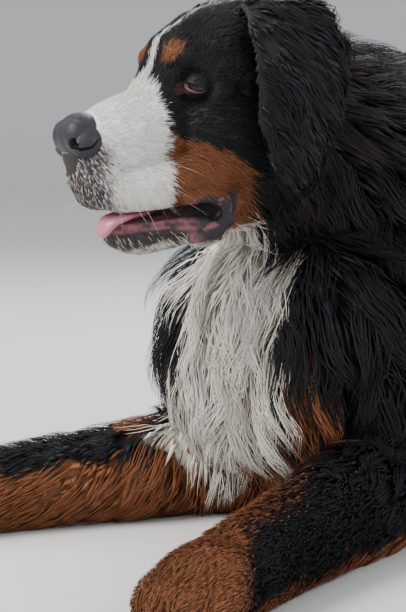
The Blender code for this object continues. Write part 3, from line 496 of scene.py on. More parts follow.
# %% Body and head
def drape_lids(item, mirror):
    """Lay the skin in front of an eye over its ball, as lids of one thickness."""
    centre = eye_point(mirror)
    axis = eye_axis(mirror)
    outside = EYE_RADIUS + LID_THICKNESS
    for vert in item.data.vertices:
        offset = vert.co - centre
        along = offset.dot(axis)
        aside = (offset - axis * along).length
        if along <= 0 or aside >= LID_FADE:
            continue
        blend = min(1.0, (LID_FADE - aside) / (LID_FADE - LID_REACH))
        blend = blend * blend * (3.0 - 2.0 * blend)
        wanted = math.sqrt(max(outside ** 2 - aside ** 2, LID_LEAST ** 2))
        vert.co += axis * (wanted - along) * blend


def add_paw(bm, wrist, way, scale):
    """The fore part of a foot with four toes, flat on the floor."""
    side = Vector((-way.y, way.x, 0))
    middle = wrist + way * 0.035 * scale
    size = [length * scale for length in PAW_SIZE]
    add_blob(bm, Vector((middle.x, middle.y, 0.030 * scale)), size, math.atan2(way.y, way.x))
    for spread, reach, drop, _ in TOES:
        toe = wrist + way * reach * scale + side * spread * scale
        centre = Vector((toe.x, toe.y, 0.0225 * scale * drop))
        splay = way + side * spread * TOE_SPLAY
        size = [length * scale for length in TOE_SIZE]
        add_blob(bm, centre, size, math.atan2(splay.y, splay.x))


def toe_claws(bm, wrist, way, scale):
    """Four claws at the fronts of the toes."""
    side = Vector((-way.y, way.x, 0))
    for spread, _, _, reach in TOES:
        splay = (way + side * spread * TOE_SPLAY).normalized()
        base = wrist + way * reach * scale + side * spread * 1.1 * scale
        root = Vector((base.x, base.y, 0.0155 * scale))
        add_claw(bm, root, splay, CLAW_LENGTH * scale, CLAW_RADIUS * scale)


def paw_frame(stations, mirror):
    """Where a foot starts and the way it points."""
    end = Vector((stations[-1][0] * mirror, stations[-1][1], 0))
    before = Vector((stations[-2][0] * mirror, stations[-2][1], 0))
    return end, (end - before).normalized()


def body_skin():
    """Trunk, neck, limbs, feet and tail as one skin, without coat."""
    bm = bmesh.new()
    add_tube(bm, TRUNK, 24)
    add_tube(bm, NECK, 20)
    for mirror in SIDES:
        for stations, sides in LIMBS:
            add_tube(bm, stations, sides, mirror)
        for stations, scale in FEET:
            add_paw(bm, *paw_frame(stations, mirror), scale)
        for x, y, z, *size in BODY_MASSES:
            add_blob(bm, Vector((x * mirror, y, z)), size)
    add_tube(bm, TAIL, 12, 1.0, TAIL_SIDE)
    item = add_object("body_skin", bm)
    fuse(item, BODY_VOXEL, BODY_SOFTEN)
    return item


def head_skin():
    """Skull, muzzle, lips and jaw as one skin in the head's own frame."""
    bm = bmesh.new()
    add_tube(bm, head_stations(SKULL), 24)
    add_tube(bm, head_stations(MUZZLE), 24)
    add_tube(bm, head_stations(JAW), 20)
    for mirror in SIDES:
        add_tube(bm, head_stations(FLEW, mirror), 14)
        add_tube(bm, head_stations(LOWER_LIP, mirror), 10)
        add_tube(bm, head_stations(CORNER_FOLD, mirror), 10, 1.0, FOLD_SIDE)
        for x, forward, up, *size in HEAD_MASSES:
            add_blob(bm, from_head(x * mirror, forward, up), [length * CM for length in size])
    item = add_object("head_skin", bm)
    fuse(item, HEAD_VOXEL, HEAD_SOFTEN)
    for mirror in SIDES:
        for x, forward, up, reach, depth in HEAD_DENTS:
            dent(item, from_head(x * mirror, forward, up), reach * CM, depth * CM)
    return item


print("body and head can be made")

# %% [markdown]
# ## Ears, mouth and eyes
# An ear is a flat leaf, cupped on its inner side, that is joined to the head. Mouth, lids
# and nostrils are opened by closed bodies that are taken out of the skin.

# %% Ears, mouth and eyes
def combine(base, others, operation, solver):
    """Join or cut a body with a set of closed bodies in one go."""
    group = bpy.data.collections.new("Group")
    bpy.context.scene.collection.children.link(group)
    for item in others:
        group.objects.link(item)
    change = base.modifiers.new("Combine", "BOOLEAN")
    change.operation = operation
    change.operand_type = "COLLECTION"
    change.collection = group
    change.solver = solver
    settle(base)
    bpy.data.collections.remove(group)
    discard(others)


def cut(base, cutters):
    """Take each cutter out of a body in turn."""
    for cutter in cutters:
        combine(base, [cutter], "DIFFERENCE", "MANIFOLD")
    keep_largest(base)


def keep_largest(item):
    """Keep only the largest closed surface of a body."""
    bm = bmesh.new()
    bm.from_mesh(item.data)
    bm.verts.ensure_lookup_table()
    unseen = set(bm.verts)
    best = []
    best_area = -1.0
    while unseen:
        stack = [unseen.pop()]
        members = list(stack)
        while stack:
            vert = stack.pop()
            for edge in vert.link_edges:
                other = edge.other_vert(vert)
                if other in unseen:
                    unseen.discard(other)
                    members.append(other)
                    stack.append(other)
        faces = {face for vert in members for face in vert.link_faces}
        area = sum(face.calc_area() for face in faces)
        if area > best_area:
            best_area = area
            best = members
    chosen = set(best)
    bmesh.ops.delete(bm, geom=[vert for vert in bm.verts if vert not in chosen], context="VERTS")
    bm.to_mesh(item.data)
    bm.free()


def ear_body(mirror):
    """A hanging ear leaf, cupped on its inner side, in the head's own frame."""
    bm = bmesh.new()
    centres = [from_head(r[0] * mirror, r[1], r[2]) for r in EAR]
    rings = []
    last = len(EAR) - 1
    for index, row in enumerate(EAR):
        ahead = (centres[min(index + 1, last)] - centres[max(index - 1, 0)]).normalized()
        side = Vector((0, 1, 0))
        side = (side - ahead * side.dot(ahead)).normalized()
        up = ahead.cross(side).normalized()
        outward = up if up.x * mirror > 0 else -up
        width = row[3] * CM
        cupped = min(1.0, 0.3 + index * 0.25)
        ring = add_ring(bm, centres[index], side, up, width, row[4] * HALF_CM, 12)
        for vert in ring:
            offset = (vert.co - centres[index]).dot(side) / width
            vert.co -= outward * EAR_CUP * CM * offset * offset * cupped
        rings.append(ring)
    bridge_rings(bm, rings)
    item = add_object("ear", bm)
    swell(item, -EAR_INSET)
    return item


def place_in_head(item):
    """Move a body from the head's own frame to its place."""
    item.data.transform(head_frame())


def mouth_cutter():
    """The gap between the lips, from one corner round the front to the other."""
    half = list(LIP_LINE)
    other = [(-r[0], r[1], r[2], r[3], r[4]) for r in reversed(half)]
    stations = head_stations(half + other)
    bm = bmesh.new()
    rings = []
    last = len(stations) - 1
    for index, row in enumerate(stations):
        before = Vector(stations[max(index - 1, 0)][:3])
        after = Vector(stations[min(index + 1, last)][:3])
        ahead = (after - before).normalized()
        side = ahead.cross(Vector((0, 0, 1))).normalized()
        up = side.cross(ahead).normalized()
        rings.append(add_ring(bm, Vector(row[:3]), side, up, row[3], row[4], 10))
    bridge_rings(bm, rings)
    return add_object("mouth", bm)


def eye_point(mirror):
    """The middle of an eye in the head's own frame."""
    return from_head(EYE[0] * mirror, EYE[1], EYE[2])


def eye_axis(mirror):
    """The way an eye looks."""
    return Vector((math.sin(EYE_TURN) * mirror, -math.cos(EYE_TURN), 0.0))


def eye_frame(mirror):
    """The middle of an eye, the way it looks and the way to its outer corner."""
    axis = eye_axis(mirror)
    side = UP.cross(axis).normalized()
    outer = side if side.x * mirror > 0 else -side
    return eye_point(mirror), axis, outer


def almond(share):
    """A point of the lids' opening: share runs round from 0 to 1 from the outer corner."""
    angle = share * math.tau
    across = math.cos(angle) * LID_HALF_WIDTH
    lift = math.sin(angle) * (LID_UPPER if math.sin(angle) > 0 else LID_LOWER)
    lift *= 1.0 - 0.35 * abs(math.cos(angle)) ** 3
    cosine, sine = math.cos(LID_TILT), math.sin(LID_TILT)
    return across * cosine - lift * sine, across * sine + lift * cosine


def lid_opening(mirror):
    """The almond prism that opens the lids down to the eye."""
    centre, axis, outer = eye_frame(mirror)
    bm = bmesh.new()
    count = 14
    rings = []
    for depth, scale in ((0.002, 0.80), (0.0125, 0.88), (0.034, 1.5)):
        ring = []
        for index in range(count):
            across, lift = almond(index / count)
            offset = outer * across * scale + UP * lift * scale
            ring.append(bm.verts.new(centre + axis * depth + offset))
        rings.append(ring)
    join_rings(bm, rings)
    bm.faces.new(rings[0])
    bm.faces.new(rings[-1])
    return add_object("opening", bm)


def nostril_cutters():
    """A round nostril and the slit that runs back from it on each side."""
    made = []
    for mirror in SIDES:
        for name, rows, sides in (("nostril", NOSTRIL, 8), ("slit", NOSTRIL_SLIT, 6)):
            bm = bmesh.new()
            add_tube(bm, head_stations(rows, mirror), sides)
            made.append(add_object(name, bm))
    return made


def discard(items):
    """Remove objects that are no longer needed."""
    for item in items:
        bpy.data.objects.remove(item, do_unlink=True)


def add_object(name, bm):
    """Turn an edited mesh into an object of the scene."""
    bmesh.ops.recalc_face_normals(bm, faces=bm.faces[:])
    mesh = bpy.data.meshes.new(name)
    bm.to_mesh(mesh)
    bm.free()
    item = bpy.data.objects.new(name, mesh)
    bpy.context.scene.collection.objects.link(item)
    return item


print("ear rings", len(EAR), "mouth rings", 2 * len(LIP_LINE))

# %% [markdown]
# ## One skin
# Under a dog's coat lies one skin without seams. Head and body are melted at the fineness
# each needs, the ears and the head are joined to the neck, and every face is shaded smooth.

# %% The skin
SKIN_TRIANGLES = 180000
FLOOR_GAP = 0.0002


def make_skin():
    """Body, head and ears joined to one skin, with mouth and eyes opened."""
    skin = body_skin()
    head = head_skin()
    leaves = []
    for mirror in SIDES:
        drape_lids(head, mirror)
        leaf = ear_body(mirror)
        fuse(leaf, EAR_VOXEL, EAR_SOFTEN)
        leaves.append(leaf)
    combine(head, leaves, "UNION", "MANIFOLD")
    place_in_head(head)
    combine(skin, [head], "UNION", "MANIFOLD")
    cutters = [mouth_cutter()] + [lid_opening(mirror) for mirror in SIDES]
    for cutter in cutters:
        place_in_head(cutter)
    cut(skin, cutters)
    skin.name = "skin"
    skin.data.calc_loop_triangles()
    thin = skin.modifiers.new("Thin", "DECIMATE")
    thin.ratio = min(1.0, SKIN_TRIANGLES / len(skin.data.loop_triangles))
    settle(skin)
    bm = bmesh.new()
    bm.from_mesh(skin.data)
    for vert in bm.verts:
        vert.co.z = max(vert.co.z, FLOOR_GAP)
    for face in bm.faces:
        face.smooth = True
    bm.to_mesh(skin.data)
    bm.free()
    return skin


skin = make_skin()
print("skin faces", len(skin.data.polygons))

# %% [markdown]
# ## How the coat lies
# Hair has a lie, a length and a depth at every place: short and flat on the face and the
# feet, a hand long on the chest, in feathers on the ears. Guides hold these values, and
# each tuft takes a blend of the guides around it.

# %% Coat guides
# Head guides in centimetres: x, forward, up, lie (x, forward, up), depth, hair, wave
HEAD_COAT = (
    (0.0, 8.5, -0.6, 0.0, -1.0, 0.20, 0.12, 0.6, 0.0),
    (0.0, 5.0, 0.5, 0.0, -1.0, 0.10, 0.15, 0.8, 0.0),
    (0.0, 2.4, 1.2, 0.0, -0.8, 0.60, 0.20, 1.0, 0.0),
    (0.0, 1.0, 3.2, 0.0, -0.5, 0.90, 0.25, 1.3, 0.0),
    (0.0, -1.0, 5.6, 0.1, -0.9, 0.50, 0.35, 1.9, 0.0),
    (0.0, -5.0, 6.3, 0.2, -1.0, -0.05, 0.45, 2.4, 0.1),
    (0.0, -9.0, 5.5, 0.2, -1.0, -0.40, 0.80, 3.8, 0.3),
    (2.0, 10.0, -5.0, 0.3, -0.5, -0.80, 0.12, 0.6, 0.0),
    (0.0, 11.0, -6.5, 0.0, -0.1, -1.00, 0.12, 0.6, 0.0),
    (3.8, 7.0, -4.5, 0.2, -0.8, -0.55, 0.15, 0.8, 0.0),
    (3.9, 7.0, -8.0, 0.1, -0.5, -0.85, 0.18, 0.9, 0.0),
    (4.6, 3.0, -4.0, 0.1, -0.9, -0.35, 0.20, 1.0, 0.0),
    (4.9, 2.0, -7.5, 0.1, -0.6, -0.75, 0.20, 1.0, 0.0),
    (4.3, 1.5, -1.5, 0.1, -0.9, -0.30, 0.15, 0.7, 0.0),
    (3.2, 0.5, 1.8, 0.1, -0.4, 0.90, 0.15, 0.8, 0.0),
    (3.0, -0.5, 3.6, 0.2, -0.6, 0.70, 0.25, 1.3, 0.0),
    (5.5, -1.8, 0.2, 0.2, -0.95, 0.00, 0.20, 1.1, 0.0),
    (6.6, -5.5, 2.0, 0.1, -0.9, -0.30, 0.20, 1.1, 0.0),
    (6.2, -4.0, -1.5, 0.2, -0.9, -0.40, 0.22, 1.2, 0.0),
    (6.4, -3.0, -5.0, 0.2, -0.8, -0.60, 0.30, 1.5, 0.0),
    (6.3, -4.0, -8.5, 0.2, -0.7, -0.80, 0.70, 3.2, 0.4),
    (5.0, -5.5, -10.5, 0.1, -0.6, -0.90, 1.20, 4.6, 0.8),
    (5.4, -1.0, -9.5, 0.1, -0.7, -0.70, 0.15, 0.8, 0.0),
    (5.0, -1.5, -12.0, 0.1, -0.5, -0.90, 0.25, 1.5, 0.2),
    (2.5, 2.0, -13.2, 0.0, -0.6, -0.80, 0.35, 1.5, 0.1),
    (0.0, 4.0, -13.3, 0.0, -0.7, -0.70, 0.30, 1.3, 0.0),
    (0.0, 8.5, -12.0, 0.0, -0.3, -1.00, 0.25, 1.1, 0.0),
    (2.5, 6.5, -12.0, 0.1, -0.4, -0.90, 0.22, 1.0, 0.0),
    (0.0, -1.0, -13.5, 0.0, -0.6, -0.90, 1.00, 4.0, 0.6),
    (0.0, -6.0, -13.0, 0.0, -0.4, -1.00, 2.40, 7.5, 1.0),
    (5.5, -7.0, 6.4, 0.6, -0.5, -0.40, 0.80, 3.4, 0.5),
    (6.5, -10.5, 5.2, 0.4, -0.9, -0.50, 1.40, 5.5, 1.0),
    (8.3, -5.2, 3.0, 0.25, -0.1, -1.00, 0.60, 3.6, 0.6),
    (9.1, -8.5, 1.5, 0.15, -0.6, -0.90, 1.00, 5.6, 1.0),
    (9.6, -5.6, -3.0, 0.05, -0.1, -1.00, 0.70, 4.6, 0.8),
    (9.5, -9.0, -3.5, 0.05, -0.6, -0.90, 1.10, 6.2, 1.0),
    (9.2, -6.3, -8.5, 0.0, -0.3, -1.00, 0.90, 5.6, 1.0),
    (8.0, -7.0, -3.0, -0.1, -0.1, -1.00, 0.20, 2.2, 0.2),
)
HEAD_GUIDE_REACH = 0.011
BODY_GUIDE_REACH = 0.0245
WAVE_FROM_HAIR = 0.055
WAVE_HAIR_RANGE = 0.035
BLOCK = 20000


def guide_table():
    """All guides on both sides: place, lie, depth, hair, wave and reach, in metres."""
    rows = []
    place = head_frame()
    turn = place.to_3x3()
    for side in SIDES:
        for x, y, z, lie_x, lie_y, lie_z, depth, hair in COAT:
            wave = max(0.0, min(1.0, (hair - WAVE_FROM_HAIR) / WAVE_HAIR_RANGE))
            lie = (lie_x * side, lie_y, lie_z)
            rows.append([x * side, y, z, *lie, depth, hair, wave, BODY_GUIDE_REACH])
        for x, forward, up, lie_x, lie_f, lie_z, depth, hair, wave in HEAD_COAT:
            spot = place @ from_head(x * side, forward, up)
            lie = turn @ Vector((lie_x * side, -lie_f, lie_z)).normalized()
            rows.append([*spot, *lie, depth * CM, hair * CM, wave, HEAD_GUIDE_REACH])
    return np.array(rows)


GUIDES = guide_table()


def unit(vectors):
    """Each vector at length 1."""
    return vectors / np.maximum(np.linalg.norm(vectors, axis=1, keepdims=True), 1e-9)


def coat_field(points):
    """Lie, depth, hair and wave at each point, by inverse distance from the guides."""
    lie = np.zeros((len(points), 3))
    rest = np.zeros((len(points), 3))
    for start in range(0, len(points), BLOCK):
        some = points[start:start + BLOCK]
        gap = ((some[:, None, :] - GUIDES[None, :, :3]) ** 2).sum(axis=2)
        weight = 1.0 / (gap + GUIDES[:, 9] ** 2) ** 2
        weight /= weight.sum(axis=1, keepdims=True)
        lie[start:start + BLOCK] = weight @ GUIDES[:, 3:6]
        rest[start:start + BLOCK] = weight @ GUIDES[:, 6:9]
    tail = points[:, 1] > TAIL_START
    if tail.any():
        some = points[tail]
        best = np.full(len(some), np.inf)
        way = np.zeros_like(some)
        for first, second in zip(TAIL, TAIL[1:]):
            begin = np.array(first[:3])
            run = np.array(second[:3]) - begin
            share = np.clip((some - begin) @ run / (run @ run), 0.0, 1.0)
            far = np.linalg.norm(begin + share[:, None] * run - some, axis=1)
            near = far < best
            best[near] = far[near]
            way[near] = run / np.linalg.norm(run)
        lie[tail] = way
        rest[tail] = (TAIL_DEPTH, TAIL_HAIR, TAIL_WAVE)
    return unit(lie), rest[:, 0], rest[:, 1], rest[:, 2]


print("coat guides", len(GUIDES))

# %% [markdown]
# ## Markings
# The breed's pattern is black with a white blaze, muzzle, bib and tail tip, and rust
# between the black and the white. It is set by edges measured on the body, roughened so
# that hairs of both colours mix along them.

# %% Markings
BLACK = np.array((0.0066, 0.0070, 0.0092))
BROWN_TIP = np.array((0.090, 0.050, 0.038))
WHITE = np.array((0.93, 0.89, 0.82))
CREAM = np.array((0.78, 0.66, 0.50))
RUST = np.array((0.300, 0.105, 0.040))
RUST_DEEP = np.array((0.135, 0.042, 0.018))
SKIN_DARK = np.array((0.022, 0.019, 0.024))
PEPPER = np.array((0.115, 0.092, 0.088))
LIP_PINK = np.array((0.27, 0.100, 0.112))


def noise(points, scale, seed):
    """A smooth random field between about -1 and 1, from a few turned waves."""
    rng = np.random.default_rng(seed)
    total = np.zeros(len(points))
    for octave in range(7):
        way = rng.normal(size=3)
        way /= np.linalg.norm(way)
        pitch = scale * (0.6 + 0.25 * octave)
        total += np.sin(points @ way * (2 * math.pi / pitch) + rng.uniform(0, 6.28))
    return total / 4.0


def step(value, soft):
    """From 0 to 1 as the value passes from -soft to soft."""
    share = np.clip(0.5 + value / (2 * soft), 0.0, 1.0)
    return share * share * (3 - 2 * share)


def to_head(points):
    """Head coordinates in centimetres: sideways, forward, up."""
    turn = np.array(head_frame().inverted())
    local = points @ turn[:3, :3].T + turn[:3, 3]
    return local[:, 0] * 100, -local[:, 1] * 100, local[:, 2] * 100


# The near front of the chest as the camera sees it: where the view starts, its middle
# and its height in metres, and the scales and level that turn it to centimetres
VIEW_TURN = 0.707
VIEW_START = 2.775
VIEW_MIDDLE = 0.345
VIEW_HEIGHT = 0.386
ACROSS_SCALE = 120.2
UP_SCALE = 170.0
UP_LEVEL = 38.6


def seen_from_front(points):
    """Centimetres across and up on the chest, as seen square to its near front from 1.7 m."""
    x, y, z = points[:, 0], points[:, 1], points[:, 2]
    away = VIEW_TURN * (VIEW_START - x + y)
    across = ACROSS_SCALE * (x + y + VIEW_MIDDLE) / away
    return across, UP_LEVEL - UP_SCALE * (VIEW_HEIGHT - z) / away


# Edges of the markings: where they are read, then their width, height or place there.
# On the head and on the bib in centimetres, elsewhere in metres.
BIB_HEIGHT = (5.0, 6.0, 7.8, 9.2, 11.5, 12.9, 13.8, 16.1, 18.4, 20.6, 23.4, 26.0, 28.6, 30.5)
BIB_START = (1.6, 0.6, -2.1, -5.3, -6.5, -3.8, -2.1, -1.8, -1.8, -2.3, -3.9, -4.4, -4.8, -4.8)
BIB_END = (1.4, 2.2, 4.4, 6.6, 7.8, 7.2, 5.2, 5.2, 5.8, 7.3, 7.6, 6.1, 5.3, 5.0)
BLAZE_WIDTH = ((-8, -4, -1, 1.5, 3.0, 4.2), (0.0, 0.22, 0.34, 0.62, 1.5, 3.6))
MUZZLE_REAR = ((-10, -7, -3, 0, 1.5), (4.4, 4.0, 3.3, 3.0, 3.0))
CHEEK_TOP = ((-6, -3.7, -3.3, -1.3, 1.3, 3.5, 5), (-13.5, -11.8, -8.3, -6.2, -4.8, -3.3, -3.0))
FAR_EDGE = ((0.05, 0.12, 0.20, 0.28, 0.36), (0.110, 0.120, 0.100, 0.070, 0.055))
LEG_MIDDLE = ((-0.55, -0.35, -0.22), (0.215, 0.150, 0.105))
LEG_TOP = ((-0.50, -0.44, -0.38, -0.30, -0.22), (0.2, 0.075, 0.050, 0.040, 0.050))
STRIPE_EDGE = ((-2.0, 1.9, 5.2, 7.0), (4.3, 4.0, 7.3, 8.2))
LIP_BAND = ((0, 4, 8, 10), (1.0, 1.1, 1.5, 1.7))
RUST_SPOTS = ((9.0, 10.9, 3.2, 2.5), (-6.4, 12.6, 1.7, 3.0))
BRISKET_SPOT = (4.5, 6.0, 5.0, 3.2)
LIP_FOLD = (2.0, -11.0, 2.5, 2.15)
THROAT_HEIGHT = -13.2


def oval(across, height, spot):
    """1 in the middle of a flat oval of two places and two half sizes, and 0 on its edge."""
    return 1.0 - np.hypot((across - spot[0]) / spot[2], (height - spot[1]) / spot[3])


def head_marks(x, f, z, wobble, fine):
    """Shares of white and of rust on the head, by its own centimetres."""
    side = np.abs(x)
    blaze = step(np.interp(f - z * 0.35, *BLAZE_WIDTH) - side + fine, 0.14) * (z > -1.5)
    muzzle = step(f - np.interp(z, *MUZZLE_REAR) + wobble * 0.5 + fine, 0.30)
    chin = step(f - 1.5, 1.0) * (z < -9.8)
    throat_edge = -12.9 + 0.05 * np.clip(f + 4, -8, 8)
    throat = step(throat_edge - z + wobble, 0.35) * step(3.8 - side + wobble, 0.5) * step(f + 5.0, 1.0)
    white = np.maximum.reduce([blaze, muzzle, chin, throat])
    cheek = step(np.interp(f, *CHEEK_TOP) - z + wobble + fine, 0.35) * step(f + 4.4 + wobble, 0.4)
    brow_gap = ((f - 1.05) / 1.2) ** 2 + ((z - 3.3) / 1.05) ** 2 + ((side - 2.7) / 1.25) ** 2
    brow = step(1.02 - np.sqrt(brow_gap) + fine, 0.16)
    rust = np.maximum(cheek * (1 - muzzle), brow * (z > 1.5))
    ear = (side > 7.4) | ((side > 4.6) & (f < -5.6) & (z > 2.0))
    return np.where(ear, 0.0, white), np.where(ear, 0.0, rust)


def body_marks(points):
    """Shares of white and of rust on the body."""
    x, y, z = points[:, 0], points[:, 1], points[:, 2]
    ragged = noise(points, 0.05, 8) * 0.010 + noise(points, 0.018, 9) * 0.004
    across, height = seen_from_front(points)
    start = np.interp(height, BIB_HEIGHT, BIB_START)
    end = np.interp(height, BIB_HEIGHT, BIB_END)
    within = np.minimum(across - start, end - across)
    within = np.minimum(within * CM, x + np.interp(z, *FAR_EDGE))
    bib = step(within + ragged * 0.7, 0.006) * step(-0.175 - y + ragged, 0.012)
    bib = bib * (height > 4.5) * (height < 31.0)
    tail_tip = step(x - 0.26 + ragged, 0.012) * (y > 0.5)
    hind_toes = step(0.150 - y + ragged, 0.010) * (np.abs(x) > 0.15) * (z < 0.075) * (y > 0)
    white = np.maximum.reduce([bib, tail_tip, hind_toes * 0.9])

    reach = np.abs(x) - np.interp(y, *LEG_MIDDLE)
    leg_top = np.interp(y, *LEG_TOP)
    leg_top = np.where(x < 0, np.minimum(leg_top, 0.042), leg_top)
    foreleg = step(leg_top - z - reach * 0.5 + ragged, 0.008) * (y < -0.20) * (z < 0.12)
    outer = np.interp(height, *STRIPE_EDGE)
    stripe = step((outer - across) * CM + ragged * 1.5, 0.016) * (height < 7.0)
    foreleg *= np.where(x > 0, np.maximum(stripe, step(0.016 - z + ragged, 0.006)), 1.0)
    patches = [step(oval(across, height, spot) + ragged * 25, 0.2) for spot in RUST_SPOTS]
    patches.append(0.35 * step(oval(across, height, BRISKET_SPOT), 0.4))
    patch = np.maximum.reduce(patches) * (y < -0.18) * (z < 0.17)
    hind = step(0.052 - z + ragged, 0.008) * (np.abs(x) > 0.14) * (y > 0.05) * (y < 0.46)
    under_tail = step(0.06 - np.abs(x) + ragged, 0.01) * (y > 0.43) * (y < 0.53) * (z < 0.13)
    return white, np.maximum.reduce([foreleg, patch, hind, under_tail])


def markings(points):
    """Shares of white and of rust at each point; the rest is black."""
    wobble = noise(points, 0.035, 5) * 0.35
    fine = noise(points, 0.012, 6) * 0.18
    x, f, z = to_head(points)
    in_head = (f > -13) & (z > -15.5) & (np.abs(x) < 13) & (points[:, 1] < -0.2)
    head_white, head_rust = head_marks(x, f, z, wobble, fine)
    body_white, body_rust = body_marks(points)
    on_head = in_head & (z > THROAT_HEIGHT)
    white = np.where(on_head, head_white, np.maximum(body_white, head_white * in_head))
    rust = np.where(on_head, head_rust, body_rust)
    return white, rust * (1 - white)


def pepper_share(points):
    """Where dark skin shows through thin white hair: below the nose and on the chin."""
    x, f, z = to_head(points)
    wobble = noise(points, 0.012, 34) * 0.4
    front = step(f - 8.5 + wobble, 0.9) * step(-3.2 - z + wobble, 0.6)
    front = front * step(3.3 - np.abs(x), 0.8) * (z > -9.9)
    chin = step(-10.3 - z, 0.3) * step(z + 13.0 + wobble, 0.6) * step(f - 2.4, 1.0)
    return np.maximum(front, chin)


def blend_colour(white, rust):
    """The coat's colour from its shares."""
    black = 1 - white - rust
    return black[:, None] * BLACK + white[:, None] * WHITE + rust[:, None] * RUST


def vertex_array(item):
    """All points of a mesh as rows of x, y, z."""
    flat = np.empty(len(item.data.vertices) * 3)
    item.data.vertices.foreach_get("co", flat)
    return flat.reshape(-1, 3)


def paint_points(item, colours):
    """Store a colour on every point of a mesh."""
    layer = item.data.color_attributes.new("coat_colour", "FLOAT_COLOR", "POINT")
    full = np.ones((len(colours), 4))
    full[:, :3] = colours
    layer.data.foreach_set("color", full.ravel())


def dress_skin(item):
    """Give the skin its markings, darker than the coat, and bare flesh at lips and eyes."""
    points = vertex_array(item)
    white, rust = markings(points)
    colour = blend_colour(white, rust) * (0.55 + 0.35 * white)[:, None]
    pepper = pepper_share(points)[:, None]
    colour = colour * (1 - pepper) + PEPPER * 0.28 * pepper
    lips = lip_share(points)[:, None]
    spotted = 0.45 + 0.42 * noise(points, 0.007, 31) + 0.25 * noise(points, 0.004, 32)
    patches = np.clip(spotted, 0, 1)[:, None]
    inner = step(to_head(points)[1] - 2.6, 0.8)[:, None]
    flesh = SKIN_DARK * (1 - patches * inner) + LIP_PINK * patches * inner
    streak = (step(noise(points, 0.006, 33) - 0.55, 0.12)[:, None]) * (1 - inner)
    flesh = flesh * (1 - streak) + LIP_PINK * 0.8 * streak
    colour = colour * (1 - lips) + flesh * lips
    corner = eye_corner(points)[:, None] * 0.75
    colour = colour * (1 - corner) + (LIP_PINK * 0.35 + SKIN_DARK * 0.8) * corner
    paint_points(item, colour)


def eye_corner(points):
    """The bare skin before the inner corner of each eye."""
    x, f, z = to_head(points)
    away = np.sqrt((np.abs(x) - 3.5) ** 2 + ((f - 1.1) / 1.2) ** 2 + ((z + 0.05) / 0.75) ** 2)
    return step(0.75 - away, 0.25)


def lip_share(points):
    """Where bare lip skin shows: a band under the mouth's gap and the fold at its corner."""
    x, f, z = to_head(points)
    side = np.abs(x)
    middle = -10.45 + 0.02 * np.clip(8 - f, 0, 9)
    band = step(1.0 - np.abs(z - middle) * np.interp(f, *LIP_BAND), 0.25) * (f > -1.8) * (side < 7)
    fold = step(oval(f, z, LIP_FOLD), 0.12) * (side > 3.2)
    return np.maximum(band, fold)


dress_skin(skin)
print("markings set")

# %% [markdown]
# ## Unwrap for the coat
# Each tuft keeps a small patch of a flat map at its root's place, so its colour can be
# stored once for all programs. The map is an unwrap of a light copy of the skin.

# %% Unwrap
UNWRAP_FACES = 7000
PATCH = 0.003


def unwrapped_copy(item):
    """A light copy of the skin, laid out on a flat map."""
    twin = bpy.data.objects.new("unwrap", item.data.copy())
    bpy.context.scene.collection.objects.link(twin)
    thin = twin.modifiers.new("Thin", "DECIMATE")
    thin.ratio = UNWRAP_FACES / len(twin.data.polygons) * 0.5
    settle(twin)
    bpy.context.view_layer.objects.active = twin
    twin.select_set(True)
    bpy.ops.object.mode_set(mode="EDIT")
    bpy.ops.mesh.select_all(action="SELECT")
    bpy.ops.uv.smart_project(angle_limit=math.radians(66), island_margin=0.002)
    bpy.ops.object.mode_set(mode="OBJECT")
    return twin


def map_reader(twin):
    """Triangles of the light copy with their places on the map."""
    mesh = twin.data
    mesh.calc_loop_triangles()
    layer = mesh.uv_layers.active.data
    corners = [[mesh.vertices[v].co.copy() for v in tri.vertices] for tri in mesh.loop_triangles]
    places = np.array([[layer[loop].uv[:] for loop in tri.loops] for tri in mesh.loop_triangles])
    verts = [vert.co.copy() for vert in mesh.vertices]
    tree = BVHTree.FromPolygons(verts, [tuple(tri.vertices) for tri in mesh.loop_triangles])
    return tree, corners, places


twin = unwrapped_copy(skin)
map_tree, map_corners, map_places = map_reader(twin)
bpy.data.objects.remove(twin, do_unlink=True)
print("map triangles", len(map_places))


def places_on_map(points):
    """For each point, the place on the map of the nearest skin."""
    found = np.empty((len(points), 2))
    for index, point in enumerate(points):
        spot, _, face, _ = map_tree.find_nearest(point)
        a, b, c = map_corners[face]
        u, v, w = barycentric(spot, a, b, c)
        found[index] = u * map_places[face, 0] + v * map_places[face, 1] + w * map_places[face, 2]
    return np.clip(found, PATCH, 1 - PATCH)


def barycentric(point, a, b, c):
    """Shares of a triangle's three corners at a point in it."""
    ab, ac, ap = b - a, c - a, point - a
    d00, d01, d11, d20, d21 = ab.dot(ab), ab.dot(ac), ac.dot(ac), ap.dot(ab), ap.dot(ac)
    below = max(d00 * d11 - d01 * d01, 1e-18)
    v = (d11 * d20 - d01 * d21) / below
    w = (d00 * d21 - d01 * d20) / below
    return 1 - v - w, v, w

# %% [markdown]
# ## Growing tufts
# A tuft is a thin closed blade: a few three-sided rings and a point. It starts just under
# the skin, runs along the lie, and rises to its layer. Neighbours lean to a common guide,
# so they gather into locks, and long locks swing from side to side.

# %% Tufts
def triangle_data(item):
    """Corners, normals and areas of all triangles."""
    mesh = item.data
    mesh.calc_loop_triangles()
    index = np.empty(len(mesh.loop_triangles) * 3, dtype=np.int64)
    mesh.loop_triangles.foreach_get("vertices", index)
    points = vertex_array(item)[index.reshape(-1, 3)]
    cross = np.cross(points[:, 1] - points[:, 0], points[:, 2] - points[:, 0])
    area = np.linalg.norm(cross, axis=1) / 2
    return points, unit(cross), area


skin_points, skin_normals, skin_areas = triangle_data(skin)
skin_centres = skin_points.mean(axis=1)
skin_hair = coat_field(skin_centres)[2]


